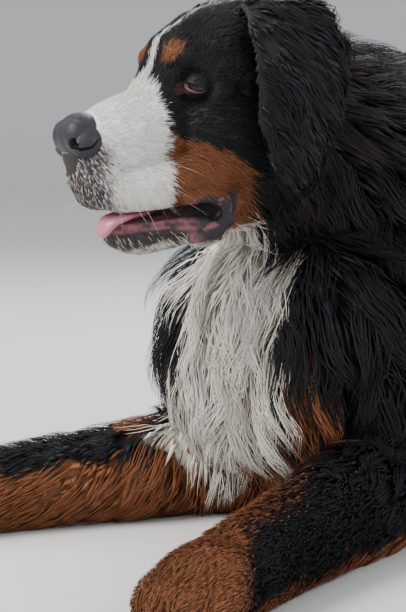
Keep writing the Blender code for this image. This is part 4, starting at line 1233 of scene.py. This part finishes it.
def make_tree(item, faces):
    """A search tree over a light, smoothed copy of the skin."""
    twin = bpy.data.objects.new("coarse", item.data.copy())
    bpy.context.scene.collection.objects.link(twin)
    thin = twin.modifiers.new("Thin", "DECIMATE")
    thin.ratio = faces / len(twin.data.polygons)
    settle(twin)
    bm = bmesh.new()
    bm.from_mesh(twin.data)
    along = {"use_axis_x": True, "use_axis_y": True, "use_axis_z": True}
    bmesh.ops.smooth_vert(bm, verts=bm.verts[:], factor=0.5, **along)
    tree = BVHTree.FromBMesh(bm)
    bm.free()
    bpy.data.objects.remove(twin, do_unlink=True)
    return tree


MARCH_FACES = 26000
march_tree = make_tree(skin, MARCH_FACES)
print("skin triangles", len(skin_areas), "march faces", MARCH_FACES)


def nearest(points):
    """The nearest place on the skin, and its normal there."""
    spots = np.empty_like(points)
    normals = np.empty_like(points)
    for index, point in enumerate(points):
        spot, normal, _, _ = march_tree.find_nearest(point)
        spots[index] = spot
        normals[index] = normal
    return spots, normals


def pick_roots(count, weight, rng):
    """Random roots on the skin, with a given density weight for each of its triangles."""
    chance = skin_areas * weight
    chance = chance / chance.sum()
    chosen = rng.choice(len(chance), size=count, p=chance)
    first = np.sqrt(rng.random(count))[:, None]
    second = rng.random(count)[:, None]
    corner = skin_points[chosen]
    spots = corner[:, 0] * (1 - first) + corner[:, 1] * first * (1 - second)
    spots = spots + corner[:, 2] * first * second
    return spots, skin_normals[chosen]


def turn_about(vectors, axes, angles):
    """Turn each vector about its own axis."""
    cosine = np.cos(angles)[:, None]
    sine = np.sin(angles)[:, None]
    along = (vectors * axes).sum(axis=1, keepdims=True)
    return vectors * cosine + np.cross(axes, vectors) * sine + axes * along * (1 - cosine)


def run_paths(roots, normals, length, layer, segments, swing, bend):
    """Points along each tuft over the skin, with the skin's normal at each."""
    spots = roots
    path = np.empty((segments + 1, len(roots), 3))
    ups = np.empty_like(path)
    old = None
    here = roots
    normal = normals
    for index in range(segments + 1):
        share = index / segments
        if index > 0:
            spots, normal = nearest(here)
        lie, depth, _, _ = coat_field(spots)
        way = unit(lie - normal * (lie * normal).sum(axis=1, keepdims=True))
        way = turn_about(way, normal, swing + bend * share)
        if old is not None:
            way = unit(way + old * 0.6)
        old = way
        rise = depth * layer * (1 - (1 - share) ** 1.7)
        if index == 0:
            rise = -np.minimum(0.0012, length * 0.06)
        path[index] = spots + normal * np.asarray(rise)[:, None]
        ups[index] = normal
        here = spots + way * (length / segments)[:, None]
    return path, ups

# %% [markdown]
# ## Blades
# Each path becomes a blade with three points round every ring and one at its tip. All
# blades of a piece are one mesh, with a colour on each point and a place on the flat map.

# %% Blades
LONG_PROFILE = (0.55, 1.0, 0.95, 0.78, 0.5)
SHORT_PROFILE = (0.75, 1.0, 0.6)
BLADE_THICKNESS = 0.45
COAT_FLOOR = 0.0004


def blade_points(path, ups, width):
    """Three points round each ring of each blade, and one at its tip."""
    rings = path.shape[0] - 1
    profile = LONG_PROFILE if rings > 3 else SHORT_PROFILE
    ahead = np.empty_like(path)
    ahead[:-1] = path[1:] - path[:-1]
    ahead[-1] = ahead[-2]
    ahead[1:-1] = path[2:] - path[:-2]
    verts = np.empty((path.shape[1], rings * 3 + 1, 3))
    for ring in range(rings):
        way = unit(ahead[ring])
        across = unit(np.cross(ups[ring], way))
        above = np.cross(way, across)
        half = (width * profile[ring] * 0.5)[:, None]
        verts[:, ring * 3] = path[ring] + across * half
        verts[:, ring * 3 + 1] = path[ring] + above * half * BLADE_THICKNESS
        verts[:, ring * 3 + 2] = path[ring] - across * half
    verts[:, -1] = path[-1]
    verts[:, :, 2] = np.maximum(verts[:, :, 2], COAT_FLOOR)
    return verts


def blade_faces(rings, count):
    """The corners of all faces of a set of blades, and how many each face has."""
    each = rings * 3 + 1
    quads = []
    for low in range(0, (rings - 1) * 3, 3):
        for side in range(3):
            after = (side + 1) % 3
            quads.append((low + side, low + after, low + 3 + after, low + 3 + side))
    top = (rings - 1) * 3
    tips = [(top + side, top + (side + 1) % 3, each - 1) for side in range(3)]
    tips.append((2, 1, 0))
    corners = np.concatenate([np.array(quads).ravel(), np.array(tips).ravel()])
    loops = (corners[None, :] + np.arange(count)[:, None] * each).ravel()
    sizes = np.tile(np.array([4] * len(quads) + [3] * len(tips)), count)
    return loops, sizes


def blade_mesh(name, verts, loops, sizes):
    """A smooth mesh from points and faces, as an object in the scene."""
    starts = np.concatenate([[0], np.cumsum(sizes)[:-1]])
    mesh = bpy.data.meshes.new(name)
    mesh.vertices.add(verts.shape[0] * verts.shape[1])
    mesh.vertices.foreach_set("co", verts.reshape(-1))
    mesh.loops.add(len(loops))
    mesh.loops.foreach_set("vertex_index", loops.astype(np.int32))
    mesh.polygons.add(len(sizes))
    mesh.polygons.foreach_set("loop_start", starts.astype(np.int32))
    mesh.polygons.foreach_set("use_smooth", np.ones(len(sizes), dtype=bool))
    mesh.update(calc_edges=True)
    item = bpy.data.objects.new(name, mesh)
    bpy.context.scene.collection.objects.link(item)
    return item


def build_tufts(name, path, ups, width, colours):
    """One mesh of closed three-sided blades along the given paths."""
    rings = path.shape[0] - 1
    verts = blade_points(path, ups, width)
    count, each = verts.shape[:2]
    loops, sizes = blade_faces(rings, count)
    item = blade_mesh(name, verts, loops, sizes)
    tints = np.linspace(0, 1, rings + 1)
    full = np.empty((count, each, 3))
    within = np.empty((each, 2))
    for ring in range(rings):
        full[:, ring * 3:ring * 3 + 3] = colours(tints[ring])[:, None, :]
        for side in range(3):
            within[ring * 3 + side] = ((side - 1) * PATCH / 2, (ring / rings - 0.5) * PATCH)
    full[:, -1] = colours(1.0)
    within[-1] = (0.0, PATCH / 2)
    paint_points(item, full.reshape(-1, 3))
    patches = places_on_map(path[0])[:, None, :] + within[None, :, :]
    layer = item.data.uv_layers.new(name="OFBake")
    layer.data.foreach_set("uv", patches.reshape(-1, 2)[loops].ravel())
    return item


print("profile of a long blade", LONG_PROFILE)

# %% [markdown]
# ## Colours and locks
# A tuft takes black, white or rust by chance, so the markings' edges mix hair by hair.
# Tufts lean to the leader of their lock, and long locks swing from side to side.

# %% Colours and locks
def tuft_colours(roots, seed, spread=0.16):
    """A colour function along a tuft: its marking by chance, with a browner tip, and painted shade that
    darkens it towards the root so that the tip looks paler.
    """
    rng = np.random.default_rng(seed)
    jitter = rng.normal(scale=0.0016, size=roots.shape)
    white, rust = markings(roots + jitter)
    pick = rng.random(len(roots))
    is_white = (pick < white).astype(float)
    is_rust = ((pick >= white) & (pick < white + rust)).astype(float)
    black = 1 - is_white - is_rust
    tone = np.exp(rng.normal(scale=spread, size=len(roots)))
    drift = 0.5 + 0.8 * noise(roots, 0.03, 17) + rng.normal(scale=0.2, size=len(roots))
    warm = np.clip(drift, 0, 1)
    is_dim = (rng.random(len(roots)) < 0.75 * pepper_share(roots)).astype(float)[:, None]
    is_bib = (roots[:, 2] < 0.30).astype(float)
    high = np.clip((roots[:, 2] - 0.26) / 0.10, 0, 1)
    crest = high * np.clip((roots[:, 1] + 0.37) / 0.08, 0, 1)
    sun = np.clip(crest * 0.5 + 0.06, 0, 1) * (warm > 0.45)

    def at(share):
        dark = BLACK * (1 - (sun * share ** 2)[:, None]) + BROWN_TIP * (sun * share ** 2)[:, None]
        cream = (is_bib * warm * 0.62 * (1 - 0.6 * share))[:, None]
        light = WHITE * (1 - cream) + CREAM * cream
        light = light * (1 - is_dim) + PEPPER * (0.7 + 1.1 * share) * is_dim
        red = RUST_DEEP * (1 - share) * 0.6 + RUST * (0.4 + 0.6 * share)
        mixed = black[:, None] * dark + is_white[:, None] * light + is_rust[:, None] * red
        # Painted shade: each tuft is darkened towards its root, where shade falls deep in the coat, by 30
        # per cent on black and rust hair and 8 per cent on white.
        depth = 1 - (0.30 - 0.22 * is_white) * (1 - share)
        tone_and_root_shade = np.where(is_white > 0, np.sqrt(tone), tone) * depth
        return np.clip(mixed * tone_and_root_shade[:, None], 0, 0.93)

    return at


def find_owners(roots, lock_count, rng):
    """For each tuft, the index of the tuft that leads its lock."""
    guides = rng.choice(len(roots), size=lock_count, replace=False)
    tree = KDTree(lock_count)
    for index, chosen in enumerate(guides):
        tree.insert(roots[chosen], index)
    tree.balance()
    return np.array([guides[tree.find(root)[1]] for root in roots])


def gather(path, ups, roots, owner, strength, wave, length, rng):
    """Lean tufts to the leader of their lock and swing each lock from side to side."""
    segments = path.shape[0] - 1
    phase = rng.uniform(0, 2 * math.pi, size=len(roots))[owner]
    size = rng.uniform(0.6, 1.3, size=len(roots))[owner] * WAVE_SIZE
    pitch = rng.uniform(0.8, 1.3, size=len(roots))[owner] * WAVE_LENGTH
    spread = roots - roots[owner]
    result = path.copy()
    for ring in range(1, segments + 1):
        share = ring / segments
        pull = (strength * share ** 0.7)[:, None]
        target = path[ring][owner] + spread * (LOCK_SPREAD * (1 - 0.6 * share))
        result[ring] = path[ring] * (1 - pull) + target * pull
        way = unit(path[ring] - path[ring - 1])[owner]
        across = np.cross(ups[ring][owner], way)
        turn = phase + share * length * 2 * math.pi / pitch
        swing = np.sin(turn) * size * wave * min(1.0, share * 1.6)
        result[ring] += across * swing[:, None]
        result[ring] += ups[ring] * (np.cos(turn) * size * wave * 0.35 * share)[:, None]
    return result


WAVE_SIZE = 0.0075
WAVE_LENGTH = 0.070
MOST_TRIANGLES = 190000
LOCK_SPREAD = 0.55
GROWN_SHARE = 1.0
coat_pieces = []
coat_triangles = 0


def grow(name, count, weight, segments, width, seed, clump=14, strength=0.62,
         length_share=1.0, layers=(0.45, 1.0), loose=1.0):
    """Sow, run, gather and build one kind of tuft, in pieces under the size limit."""
    global coat_triangles
    count = int(count * GROWN_SHARE)
    rng = np.random.default_rng(seed)
    roots, normals = pick_roots(count, weight, rng)
    order = np.argsort(roots[:, 1])
    roots, normals = roots[order], normals[order]
    _, _, hair, wave = coat_field(roots)
    length = hair * length_share * rng.uniform(0.75, 1.12, size=count)
    layer = rng.uniform(*layers, size=count)
    swing = rng.normal(scale=0.15 * loose, size=count)
    bend = rng.normal(scale=0.25 * loose, size=count)
    if clump:
        owner = find_owners(roots, max(1, count // clump), rng)
        swing = swing[owner] + rng.normal(scale=0.05, size=count)
        bend = bend[owner] + rng.normal(scale=0.06, size=count)
        layer = layer * 0.55 + layer[owner] * 0.45
    path, ups = run_paths(roots, normals, length, layer, segments, swing, bend)
    if clump:
        pulled = strength * rng.uniform(0.75, 1.1, size=count)
        path = gather(path, ups, roots, owner, pulled, wave, length, rng)
    widths = (width[0] + length * width[1]) * rng.uniform(0.8, 1.2, size=count)
    per_tuft = (segments - 1) * 6 + 4
    size = MOST_TRIANGLES // per_tuft
    for part, start in enumerate(range(0, count, size)):
        some = slice(start, min(count, start + size))
        colours = tuft_colours(path[(segments + 1) // 2, some], seed + 50 + part)
        piece_name = "%s_%d" % (name, part + 1)
        item = build_tufts(piece_name, path[:, some], ups[:, some], widths[some], colours)
        coat_pieces.append(item)
        triangles = (some.stop - some.start) * per_tuft
        coat_triangles += triangles
        print(item.name, triangles)


print("share of the coat grown", GROWN_SHARE)

# %% [markdown]
# ## Sowing the coat
# Five kinds of tuft are sown: a soft undercoat, the long coat before and behind, short
# coat on the limbs and a fine coat on the face. Each has its own density and lengths.

# %% Sowing
def bare_share(points):
    """What wears no hair: the rims round eyes and mouth, the bed of the nose, the soles."""
    x, f, z = to_head(points)
    side = np.abs(x)
    eye = np.sqrt((side - EYE[0] - 0.35) ** 2 + (f - EYE[1] - 0.4) ** 2 + (z - EYE[2]) ** 2)
    bare = (eye < 0.78).astype(float)
    bare = np.maximum(bare, 0.8 * (eye_corner(points) > 0.5))
    nose = np.sqrt(x ** 2 + (f - 10.2) ** 2 + (z + 2.3) ** 2)
    bare = np.maximum(bare, (nose < 2.3).astype(float))
    under = np.sqrt(x ** 2 + (f - 10.2) ** 2 + (z + 4.2) ** 2)
    bare = np.maximum(bare, (under < 1.5).astype(float))
    bare = np.maximum(bare, lip_share(points))
    chin = step(-10.6 - z, 0.3) * step(f - 2.4, 0.8) * step(z + 12.6, 0.3)
    bare = np.maximum(bare, 0.8 * chin)
    bare = np.maximum(bare, (points[:, 2] < 0.004).astype(float))
    return bare


covered = 1 - bare_share(skin_centres)
front = np.clip((0.05 - skin_centres[:, 1]) / 0.15, 0, 1)
near_side = np.clip((skin_centres[:, 0] + 0.12) / 0.06, 0, 1) * 0.5 + 0.5
is_long = (skin_hair > 0.026).astype(float)
is_short = 1 - is_long
in_view = (skin_centres[:, 1] < 0.0).astype(float)
face_x, face_f, face_z = to_head(skin_centres)
on_face = (face_f > -6.5) & (face_z > -14.5) & (np.abs(face_x) < 7.6)
on_face = (on_face & (skin_centres[:, 1] < -0.25)).astype(float)

long_coat = covered * is_long
short_coat = covered * is_short
rest_weight = short_coat * (1 - on_face) * (0.30 + 1.1 * in_view) / (0.004 + skin_hair)
face_weight = short_coat * on_face / (0.004 + skin_hair) ** 1.2
grow("coat_under", 13000, long_coat * (0.45 + 0.55 * in_view), 2, (0.0040, 0.02), 20,
     clump=0, length_share=0.55, layers=(0.3, 0.62))
grow("coat_long_front", 24000, long_coat * in_view * near_side / (0.4 + skin_hair * 8), 5,
     (0.0007, 0.0072), 21, clump=22, strength=0.68, length_share=1.15, layers=(0.66, 0.95))
grow("coat_long_rear", 9000, long_coat * (1 - in_view) * (0.6 + front), 4, (0.0024, 0.020), 22,
     clump=16)
grow("coat_short", 20000, rest_weight, 2, (0.0005, 0.024), 23, clump=0, layers=(0.6, 1.0), loose=0.45)
grow("coat_face", 29000, face_weight, 2, (0.00030, 0.026), 24,
     clump=0, length_share=0.9, layers=(0.5, 0.95), loose=0.6)
print("coat triangles", coat_triangles)

# %% [markdown]
# ## Nose, tongue, eyes and claws
# The nose is moist pebbled leather with comma-shaped nostrils. The tongue is a soft slab
# behind the lower lip. The eyes are wet balls that sit deep behind dark-rimmed lids.

# %% Details
# Nose masses in centimetres: x, forward, up; then half sizes in metres
NOSE_MASSES = (
    (1.10, 10.4, -2.3, 0.0130, 0.0120, 0.0145),
    (1.70, 9.8, -3.0, 0.0125, 0.0160, 0.0140),
    (0.45, 10.2, -3.8, 0.0120, 0.0110, 0.0130),
)
CORNEA = 0.0062
CORNEA_HEIGHT = 0.0011
# Pupil, iris, dark ring and white of the eye: out to which angle, and the colour
EYE_TONES = (
    (13, (0.002, 0.002, 0.002)),
    (33, (0.014, 0.007, 0.005)),
    (37, (0.010, 0.006, 0.005)),
    (181, (0.10, 0.12, 0.16)),
)
RIM_STEPS = 48
RIM_SIDES = 10
RIM_DARK = np.array((0.008, 0.007, 0.008))
WHISKER_RADIUS = 0.00018
WHISKER_SAG = Vector((0, 0, -0.22))


def shade_smooth(item):
    """Shade all faces as one smooth surface."""
    for face in item.data.polygons:
        face.use_smooth = True
    return item


def make_nose():
    """The nose leather with its two nostrils."""
    bm = bmesh.new()
    add_blob(bm, from_head(0, 9.6, -2.4), (0.0240, 0.0205, 0.0200), 0.0, 32)
    for mirror in SIDES:
        for x, forward, up, *size in NOSE_MASSES:
            add_blob(bm, from_head(x * mirror, forward, up), size, 0.0, 24)
    nose = add_object("nose", bm)
    fuse(nose, NOSE_VOXEL, NOSE_SOFTEN)
    cut(nose, nostril_cutters())
    place_in_head(nose)
    nose.name = "nose_leather"
    return shade_smooth(nose)


def make_tongue():
    """The fore part of the tongue, lying over the lower lip."""
    bm = bmesh.new()
    add_tube(bm, head_stations(TONGUE), 14)
    tongue = add_object("tongue", bm)
    soften = tongue.modifiers.new("Soften", "SUBSURF")
    soften.levels = 2
    soften.render_levels = 2
    settle(tongue)
    place_in_head(tongue)
    tongue.name = "tongue_tip"
    return shade_smooth(tongue)


def make_eye(mirror):
    """A ball with a raised cornea, coloured in rings round the way it looks."""
    bm = bmesh.new()
    bmesh.ops.create_uvsphere(bm, u_segments=40, v_segments=28, radius=EYE_RADIUS)
    for vert in bm.verts:
        aside = math.hypot(vert.co.x, vert.co.y)
        if vert.co.z > 0 and aside < CORNEA:
            vert.co.z += CORNEA_HEIGHT * (1 - (aside / CORNEA) ** 2)
    centre, axis = eye_point(mirror), eye_axis(mirror)
    turn = axis.to_track_quat("Z", "Y").to_matrix().to_4x4()
    bmesh.ops.transform(bm, matrix=Matrix.Translation(centre) @ turn, verts=bm.verts[:])
    item = add_object("eyeball_left" if mirror > 0 else "eyeball_right", bm)
    colours = np.empty((len(item.data.vertices), 3))
    for index, vert in enumerate(item.data.vertices):
        away = math.degrees((vert.co - centre).angle(axis))
        colours[index] = next(tone for limit, tone in EYE_TONES if away < limit)
    place_in_head(item)
    paint_points(item, colours)
    return shade_smooth(item)


def make_lid(mirror):
    """The rims of both lids as one ring, dark above and pink on the inner half below."""
    centre, axis, outer = eye_frame(mirror)
    bm = bmesh.new()
    rings = []
    for index in range(RIM_STEPS):
        across, lift = almond(index / RIM_STEPS)
        offset = outer * across + UP * lift
        forward = math.sqrt(max(EYE_RADIUS ** 2 - offset.length_squared, 0.0)) + 0.0012
        place = centre + axis * forward + offset * 1.02
        rings.append(add_ring(bm, place, offset.normalized(), axis, 0.0014, 0.0012, RIM_SIDES))
    join_rings(bm, rings + rings[:1])
    lid = add_object("lid", bm)
    angle = (np.arange(len(lid.data.vertices)) // RIM_SIDES) / RIM_STEPS * math.tau
    inner = 0.25 + 0.75 * step(0.25 - np.cos(angle), 0.6)
    pink = (0.5 * step(-np.sin(angle) - 0.15, 0.3) * inner)[:, None]
    paint_points(lid, RIM_DARK * (1 - pink) + LIP_PINK * 0.8 * pink)
    place_in_head(lid)
    lid.name = "lid_rim_left" if mirror > 0 else "lid_rim_right"
    return shade_smooth(lid)


def make_claws():
    """Sixteen claws as one piece."""
    bm = bmesh.new()
    for mirror in SIDES:
        for stations, size in FEET:
            toe_claws(bm, *paw_frame(stations, mirror), size)
    return shade_smooth(add_object("claws", bm))


def whisker_sets():
    """Root, way and reach of the whiskers of lip, brow and chin, in head centimetres."""
    sets = []
    for row in range(4):
        for column in range(5):
            root = (2.9 + 0.16 * column, 8.4 - column * 0.9, -5.6 - row * 0.85)
            sets.append((root, (0.75, 0.35 - 0.2 * column, -0.35), 4.4))
    for column in range(3):
        sets.append(((2.6, 0.9 - 0.4 * column, 2.6), (0.35, 0.6, 0.75), 3.0))
    for column in range(5):
        sets.append(((1.6, 8.2 - column * 0.8, -12.0), (0.35, 0.3, -0.9), 2.4))
    return sets


def near(rng, place, mirror, forward, up):
    """A place or way of the head, moved at random forward and up, on one side."""
    moved = place[1] + rng.uniform(-forward, forward)
    return from_head(place[0] * mirror, moved, place[2] + rng.uniform(-up, up))


def make_whiskers():
    """Stiff hairs of the upper lip, chin and brow, each a fine tapered rod with a sag."""
    rng = random.Random(41)
    bm = bmesh.new()
    place = head_frame()
    for mirror in SIDES:
        for root, way, reach in whisker_sets():
            start = near(rng, root, mirror, 0.2, 0.2)
            run = near(rng, way, mirror, 0.2, 0.15).normalized()
            length = reach * CM * rng.uniform(0.7, 1.15)
            side = run.cross(UP).normalized()
            rings = []
            for share in (0.0, 0.3, 0.6, 0.85, 1.0):
                sag = WHISKER_SAG * length * share * share
                spot = place @ (start + run * length * share + sag)
                radius = WHISKER_RADIUS * (1.05 - share)
                up = run.cross(side).normalized()
                rings.append(add_ring(bm, spot, side, up, radius, radius, 5))
            bridge_rings(bm, rings)
    return shade_smooth(add_object("whiskers", bm))


whiskers = make_whiskers()
nose = make_nose()
tongue = make_tongue()
eyes = [make_eye(mirror) for mirror in SIDES]
lids = [make_lid(mirror) for mirror in SIDES]
claws = make_claws()
print("nose", len(nose.data.polygons), "eye", len(eyes[0].data.polygons))

# %% [markdown]
# ## Finishes
# Materials are small graphs. Coat, skin, eyes and lids show the colours stored on their
# points. Nose, tongue, whiskers and claws drift between two tones.

# %% Finishes
class Finish:
    """One Principled material and the nodes that feed it."""

    def __init__(self, name, roughness, gloss=0.5):
        self.material = bpy.data.materials.new(name)
        self.material.use_nodes = True
        self.tree = self.material.node_tree
        self.shader = self.tree.nodes["Principled BSDF"]
        self.shader.inputs["Roughness"].default_value = roughness
        self.shader.inputs["Specular IOR Level"].default_value = gloss

    def node(self, kind, inputs=None, output=0, **settings):
        """Add a node, and return one of its outputs."""
        node = self.tree.nodes.new(kind)
        for key, value in settings.items():
            setattr(node, key, value)
        for key, value in (inputs or {}).items():
            if isinstance(value, bpy.types.NodeSocket):
                self.tree.links.new(value, node.inputs[key])
            else:
                node.inputs[key].default_value = value
        return node.outputs[output]

    def noise(self, scale, detail):
        place = self.node("ShaderNodeTexCoord", output=3)
        return self.node("ShaderNodeTexNoise", {"Vector": place, "Scale": scale, "Detail": detail})

    def cells(self, scale):
        place = self.node("ShaderNodeTexCoord", output=3)
        inputs = {"Vector": place, "Scale": scale}
        return self.node("ShaderNodeTexVoronoi", inputs, feature="SMOOTH_F1")

    def feed(self, name, socket):
        self.tree.links.new(socket, self.shader.inputs[name])

    def bump(self, height, strength, distance):
        inputs = {"Height": height, "Strength": strength, "Distance": distance}
        self.feed("Normal", self.node("ShaderNodeBump", inputs))


def painted(name, roughness, gloss):
    """A finish in the colours stored on the points."""
    finish = Finish(name, roughness, gloss)
    finish.feed("Base Color", finish.node("ShaderNodeAttribute", attribute_name="coat_colour"))
    return finish


def mottled(name, roughness, gloss, grain, first, second):
    """A finish that drifts between two tones, by the scale and detail of a grain."""
    finish = Finish(name, roughness, gloss)
    inputs = {0: finish.noise(*grain), 6: (*first, 1), 7: (*second, 1)}
    finish.feed("Base Color", finish.node("ShaderNodeMix", inputs, 2, data_type="RGBA"))
    return finish


def wear(item, material):
    """Give an object one material."""
    item.data.materials.clear()
    item.data.materials.append(material)


coat_finish = painted("coat", 0.56, 0.28)
skin_finish = painted("skin", 0.62, 0.3)
skin_finish.bump(skin_finish.noise(900.0, 3.0), 0.5, 0.0006)
nose_finish = mottled("nose_leather", 0.46, 0.35, (120.0, 2.0), (0.014, 0.013, 0.017), (0.036, 0.034, 0.041))
nose_finish.bump(nose_finish.cells(900.0), 0.6, 0.0007)
tongue_finish = mottled("tongue", 0.30, 0.5, (60.0, 3.0), (0.58, 0.20, 0.27), (0.46, 0.14, 0.20))
tongue_finish.bump(tongue_finish.noise(1400.0, 1.0), 0.4, 0.0004)
eye_finish = painted("eye", 0.06, 0.35)
rim_finish = painted("lid_skin", 0.45, 0.3)
claw_finish = mottled("claw", 0.35, 0.5, (300.0, 2.0), (0.030, 0.024, 0.020), (0.10, 0.075, 0.055))
whisker_finish = mottled("whisker", 0.4, 0.5, (90.0, 1.0), (0.55, 0.52, 0.48), (0.70, 0.68, 0.64))
WORN = (
    (coat_finish, coat_pieces),
    (skin_finish, [skin]),
    (nose_finish, [nose]),
    (tongue_finish, [tongue]),
    (eye_finish, eyes),
    (rim_finish, lids),
    (claw_finish, [claws]),
    (whisker_finish, [whiskers]),
)
for finish, items in WORN:
    for item in items:
        wear(item, finish.material)
print("materials", len(bpy.data.materials))

# %% [markdown]
# ## Tying the pieces to the frame
# The skin stands for all the flesh solids. Nothing moves, so every piece rides on the one
# body of the part.

# %% Ride and replace
FLESH = [name for name in frame["nodes"] if not name.startswith(("nose", "tongue", "eye_"))]
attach(skin, "root")
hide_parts(*FLESH)
for piece in coat_pieces:
    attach(piece, "root")
DETAILS = (
    (nose, "nose_leather", "nose"),
    (tongue, "tongue", "tongue"),
    (eyes[0], "eye", "eye_left"),
    (eyes[1], "eye", "eye_right"),
)
for item, slot, node in DETAILS:
    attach(item, "root")
    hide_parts(node)
for item in (*lids, claws, whiskers):
    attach(item, "root")
print("flesh nodes replaced", len(FLESH), "coat pieces", len(coat_pieces))

# %% [markdown]
# ## Stage and light
# A plain pale floor runs to a pale distance. One large soft light stands above and to the
# left of the camera, a weaker one fills from the right, and one lifts the back.

# %% Stage
FLOOR_NEAR = -14.0
FLOOR_FAR = 8.0
FLOOR_HALF = 14.0
CURVE = 2.5
CURVE_STEPS = 12
WALL_TOP = 9.0
FLOOR_COLOUR = (0.70, 0.70, 0.68, 1)
WORLD_COLOUR = (0.72, 0.75, 0.80, 1)
WORLD_STRENGTH = 0.98
# Name, place, aim, size, power and colour
LIGHTS = (
    ("Key", (-0.9, -2.2, 2.4), (0.0, -0.3, 0.3), (1.8, 1.4), 128.0, (1.0, 0.98, 0.95)),
    ("Fill", (2.4, 0.2, 1.5), (0.0, -0.2, 0.25), (1.6, 1.6), 30.0, (0.92, 0.96, 1.0)),
    ("Back", (-1.2, 1.6, 1.9), (0.0, 0.0, 0.3), (1.6, 1.0), 46.0, (0.95, 0.97, 1.0)),
)


def make_floor():
    """A floor that bends up behind the dog, square to the camera."""
    profile = [(FLOOR_NEAR, 0.0), (FLOOR_FAR, 0.0)]
    for index in range(1, CURVE_STEPS + 1):
        angle = index / CURVE_STEPS * math.pi / 2
        profile.append((FLOOR_FAR + math.sin(angle) * CURVE, CURVE - math.cos(angle) * CURVE))
    profile.append((FLOOR_FAR + CURVE, WALL_TOP))
    away = Vector((-math.sqrt(0.5), math.sqrt(0.5), 0.0))
    across = Vector((math.sqrt(0.5), math.sqrt(0.5), 0.0))
    bm = bmesh.new()
    rows = []
    for reach, height in profile:
        middle = away * reach + UP * height
        rows.append([bm.verts.new(middle + across * side) for side in (-FLOOR_HALF, FLOOR_HALF)])
    for first, second in zip(rows, rows[1:]):
        bm.faces.new((first[0], first[1], second[1], second[0]))
    floor = shade_smooth(add_object("floor", bm))
    finish = Finish("floor", 0.8)
    finish.shader.inputs["Base Color"].default_value = FLOOR_COLOUR
    wear(floor, finish.material)


def add_light(name, place, aim, size, power, colour):
    """A rectangular light that faces a point."""
    data = bpy.data.lights.new(name, "AREA")
    data.shape = "RECTANGLE"
    data.size = size[0]
    data.size_y = size[1]
    data.energy = power
    data.color = colour
    item = bpy.data.objects.new(name, data)
    bpy.context.scene.collection.objects.link(item)
    item.location = place
    item.rotation_euler = (Vector(aim) - Vector(place)).to_track_quat("-Z", "Y").to_euler()


make_floor()
world = bpy.data.worlds.new("Pale studio")
world.use_nodes = True
background = world.node_tree.nodes["Background"]
background.inputs["Color"].default_value = WORLD_COLOUR
background.inputs["Strength"].default_value = WORLD_STRENGTH
bpy.context.scene.world = world
for light in LIGHTS:
    add_light(*light)
print("lights", len(LIGHTS))

# %% End
import json
